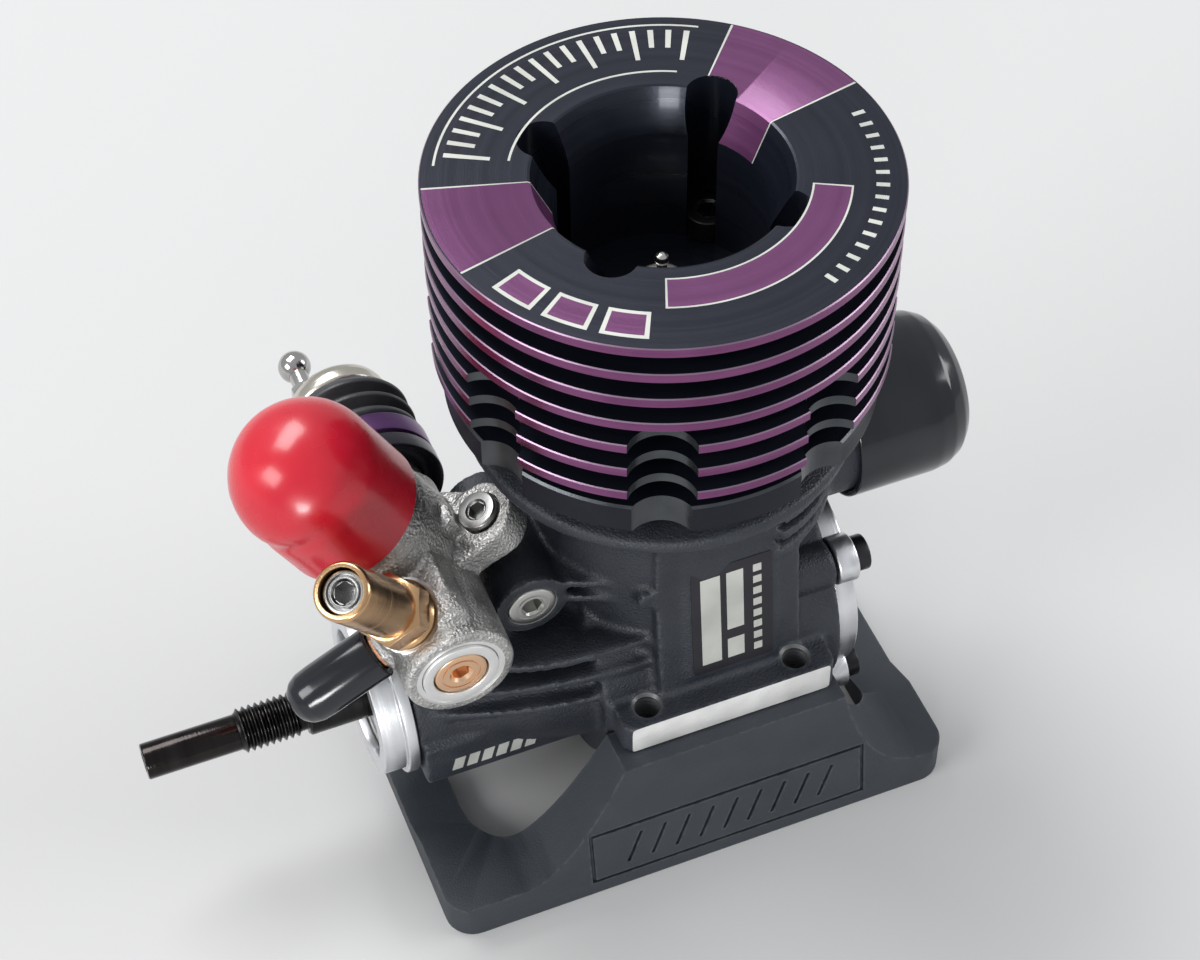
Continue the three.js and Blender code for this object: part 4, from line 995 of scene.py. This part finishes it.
# Transport caps. Dip-moulded vinyl, pushed over the intake, the fuel nipple and the exhaust stub; the
# red one is stretched over its neck and has a shallow fold in its side.
glossy_red = finish("glossy_red", (0.46, 0.009, 0.022), (0.51, 0.011, 0.026), (0.24, 0.32), 0.0, 0.006,
                    0.00002,
                    coat=0.15, coat_rough=0.12)
glossy_black = finish("glossy_black", (0.004, 0.005, 0.008), (0.007, 0.009, 0.013), (0.12, 0.18), 0.0, 0.006,
                      0.00003,
                      coat=0.1, coat_rough=0.06)
red_side = [(9.7, 15.4 + i * 0.7) for i in range(15)]
red_dome = [(9.68, 26.0), (9.6, 26.8), (9.45, 27.7), (9.2, 28.6), (8.85, 29.5), (8.4, 30.3), (7.8, 31.2),
            (7.1, 32.0),
            (6.3, 32.8), (5.4, 33.5), (4.3, 34.1), (3.2, 34.5), (2.0, 34.75), (1.0, 34.82), (0, 34.85)]
red_cap = turned([(8.5, 15.4), *red_side, *red_dome, (0, 34.0), (2.0, 33.85), (3.9, 33.3), (5.7, 32.2),
                  (7.1, 30.7),
                  (8.1, 29.0), (8.6, 27.2), (8.7, 25), (8.5, 22.4), (8.5, 15.4)], 0.0, 160)
FOLD_FACES = radians(-104)
for corner in red_cap.verts:
    turn = atan2(corner.co.y, corner.co.x) - FOLD_FACES
    facing = max(0.0, cos(turn)) ** 1.5
    crease = exp(-((corner.co.z - 25.4 - 2.6 * sin(turn)) / 1.25) ** 2)
    swell = exp(-((corner.co.z - 28.6 - 2.6 * sin(turn)) / 1.8) ** 2)
    corner.co.xy *= 1 + facing * (0.016 * swell - 0.038 * crease)
piece("red_intake_cap", red_cap, [glossy_red], "intake_cap", ["intake_cap"], CARB, 60)
piece("nipple_cap", turned([(0, -21.4), (1.2, -21.3), (2.3, -20.8), (3.1, -19.9), (3.5, -18.7), (3.6, -17),
                            (3.6, -8),
                            (2.6, -8), (2.6, -18), (1.4, -19.6), (0, -19.9)], 0.25, 72), [glossy_black],
                            "fuel_cap",
      ["fuel_cap"], ON_NIPPLE, 60)
stub_cap = turned([(10.5, 24.2), (11.3, 24.2), (11.3, 36.4), (11.0, 38.4), (10.1, 40.2), (8.6, 41.5),
                   (6.6, 42.3),
                   (3.6, 42.7), (0, 42.8), (0, 42), (3.5, 41.9), (6.2, 41.5), (8.0, 40.8), (9.4, 39.6),
                   (10.2, 38.1),
                   (10.5, 36.2), (10.5, 24.2)], 0.3, 128)
piece("stub_cap", placed(stub_cap, at(-27.4, 0, 0)), [glossy_black], "exhaust_cap",
      ["exhaust_cap"],
      ON_CRANK, 60)

# Floor, light and camera. A pale sweep under a large soft box and two side panels, seen from above and
# to the left of the engine's front.
floor_mesh = bpy.data.meshes.new("floor")
floor_shape = bmesh.new()
bmesh.ops.create_grid(floor_shape, x_segments=1, y_segments=1, size=1.6)
floor_shape.to_mesh(floor_mesh)
floor_shape.free()
floor = bpy.data.objects.new("floor", floor_mesh)
bpy.context.scene.collection.objects.link(floor)
paper = bpy.data.materials.new("pale_paper")
paper.use_nodes = True
paper.node_tree.nodes["Principled BSDF"].inputs["Base Color"].default_value = (0.495, 0.495, 0.495, 1)
paper.node_tree.nodes["Principled BSDF"].inputs["Roughness"].default_value = 0.9
paper.node_tree.nodes["Principled BSDF"].inputs["Specular IOR Level"].default_value = 0.1
floor_mesh.materials.append(paper)

room = bpy.data.worlds.new("room")
room.use_nodes = True
room.node_tree.nodes["Background"].inputs["Color"].default_value = (0.95, 0.97, 1.0, 1)
room.node_tree.nodes["Background"].inputs["Strength"].default_value = 0.55
bpy.context.scene.world = room

TARGET = Vector((0.0349, 0.0146, 0.0347))
for name, azimuth, elevation, distance, width, watts in (
        ("soft_box", -155, 58, 1.5, 1.0, 20), ("left_panel", -80, 32, 1.6, 0.8, 11),
        ("right_panel", 75, 30, 1.6, 0.9, 11), ("front_panel", -27, 7, 1.8, 0.5, 14)):
    lamp = bpy.data.lights.new(name, "AREA")
    lamp.shape = "RECTANGLE"
    lamp.size = width
    lamp.size_y = width * 0.7
    lamp.energy = watts
    holder = bpy.data.objects.new(name, lamp)
    around = Matrix.Rotation(radians(azimuth), 4, "Z") @ Matrix.Rotation(radians(-elevation), 4, "X")
    holder.matrix_world = Matrix.Translation(TARGET) @ around @ Matrix.Translation((0, -distance, 0)) \
        @ Matrix.Rotation(radians(90), 4, "X")
    bpy.context.scene.collection.objects.link(holder)

lens = bpy.data.cameras.new("camera")
lens.sensor_width = 36
lens.lens = 78
lens.clip_start = 0.01
camera = bpy.data.objects.new("camera", lens)
around = Matrix.Rotation(radians(-21.2), 4, "Z") @ Matrix.Rotation(radians(90 - 49), 4, "X")
camera.matrix_world = Matrix.Translation(TARGET) @ around @ Matrix.Rotation(radians(-0.84), 4, "Z") \
    @ Matrix.Translation((0, 0, 0.366))
bpy.context.scene.collection.objects.link(camera)
bpy.context.scene.camera = camera
bpy.context.scene.view_settings.view_transform = "Standard"
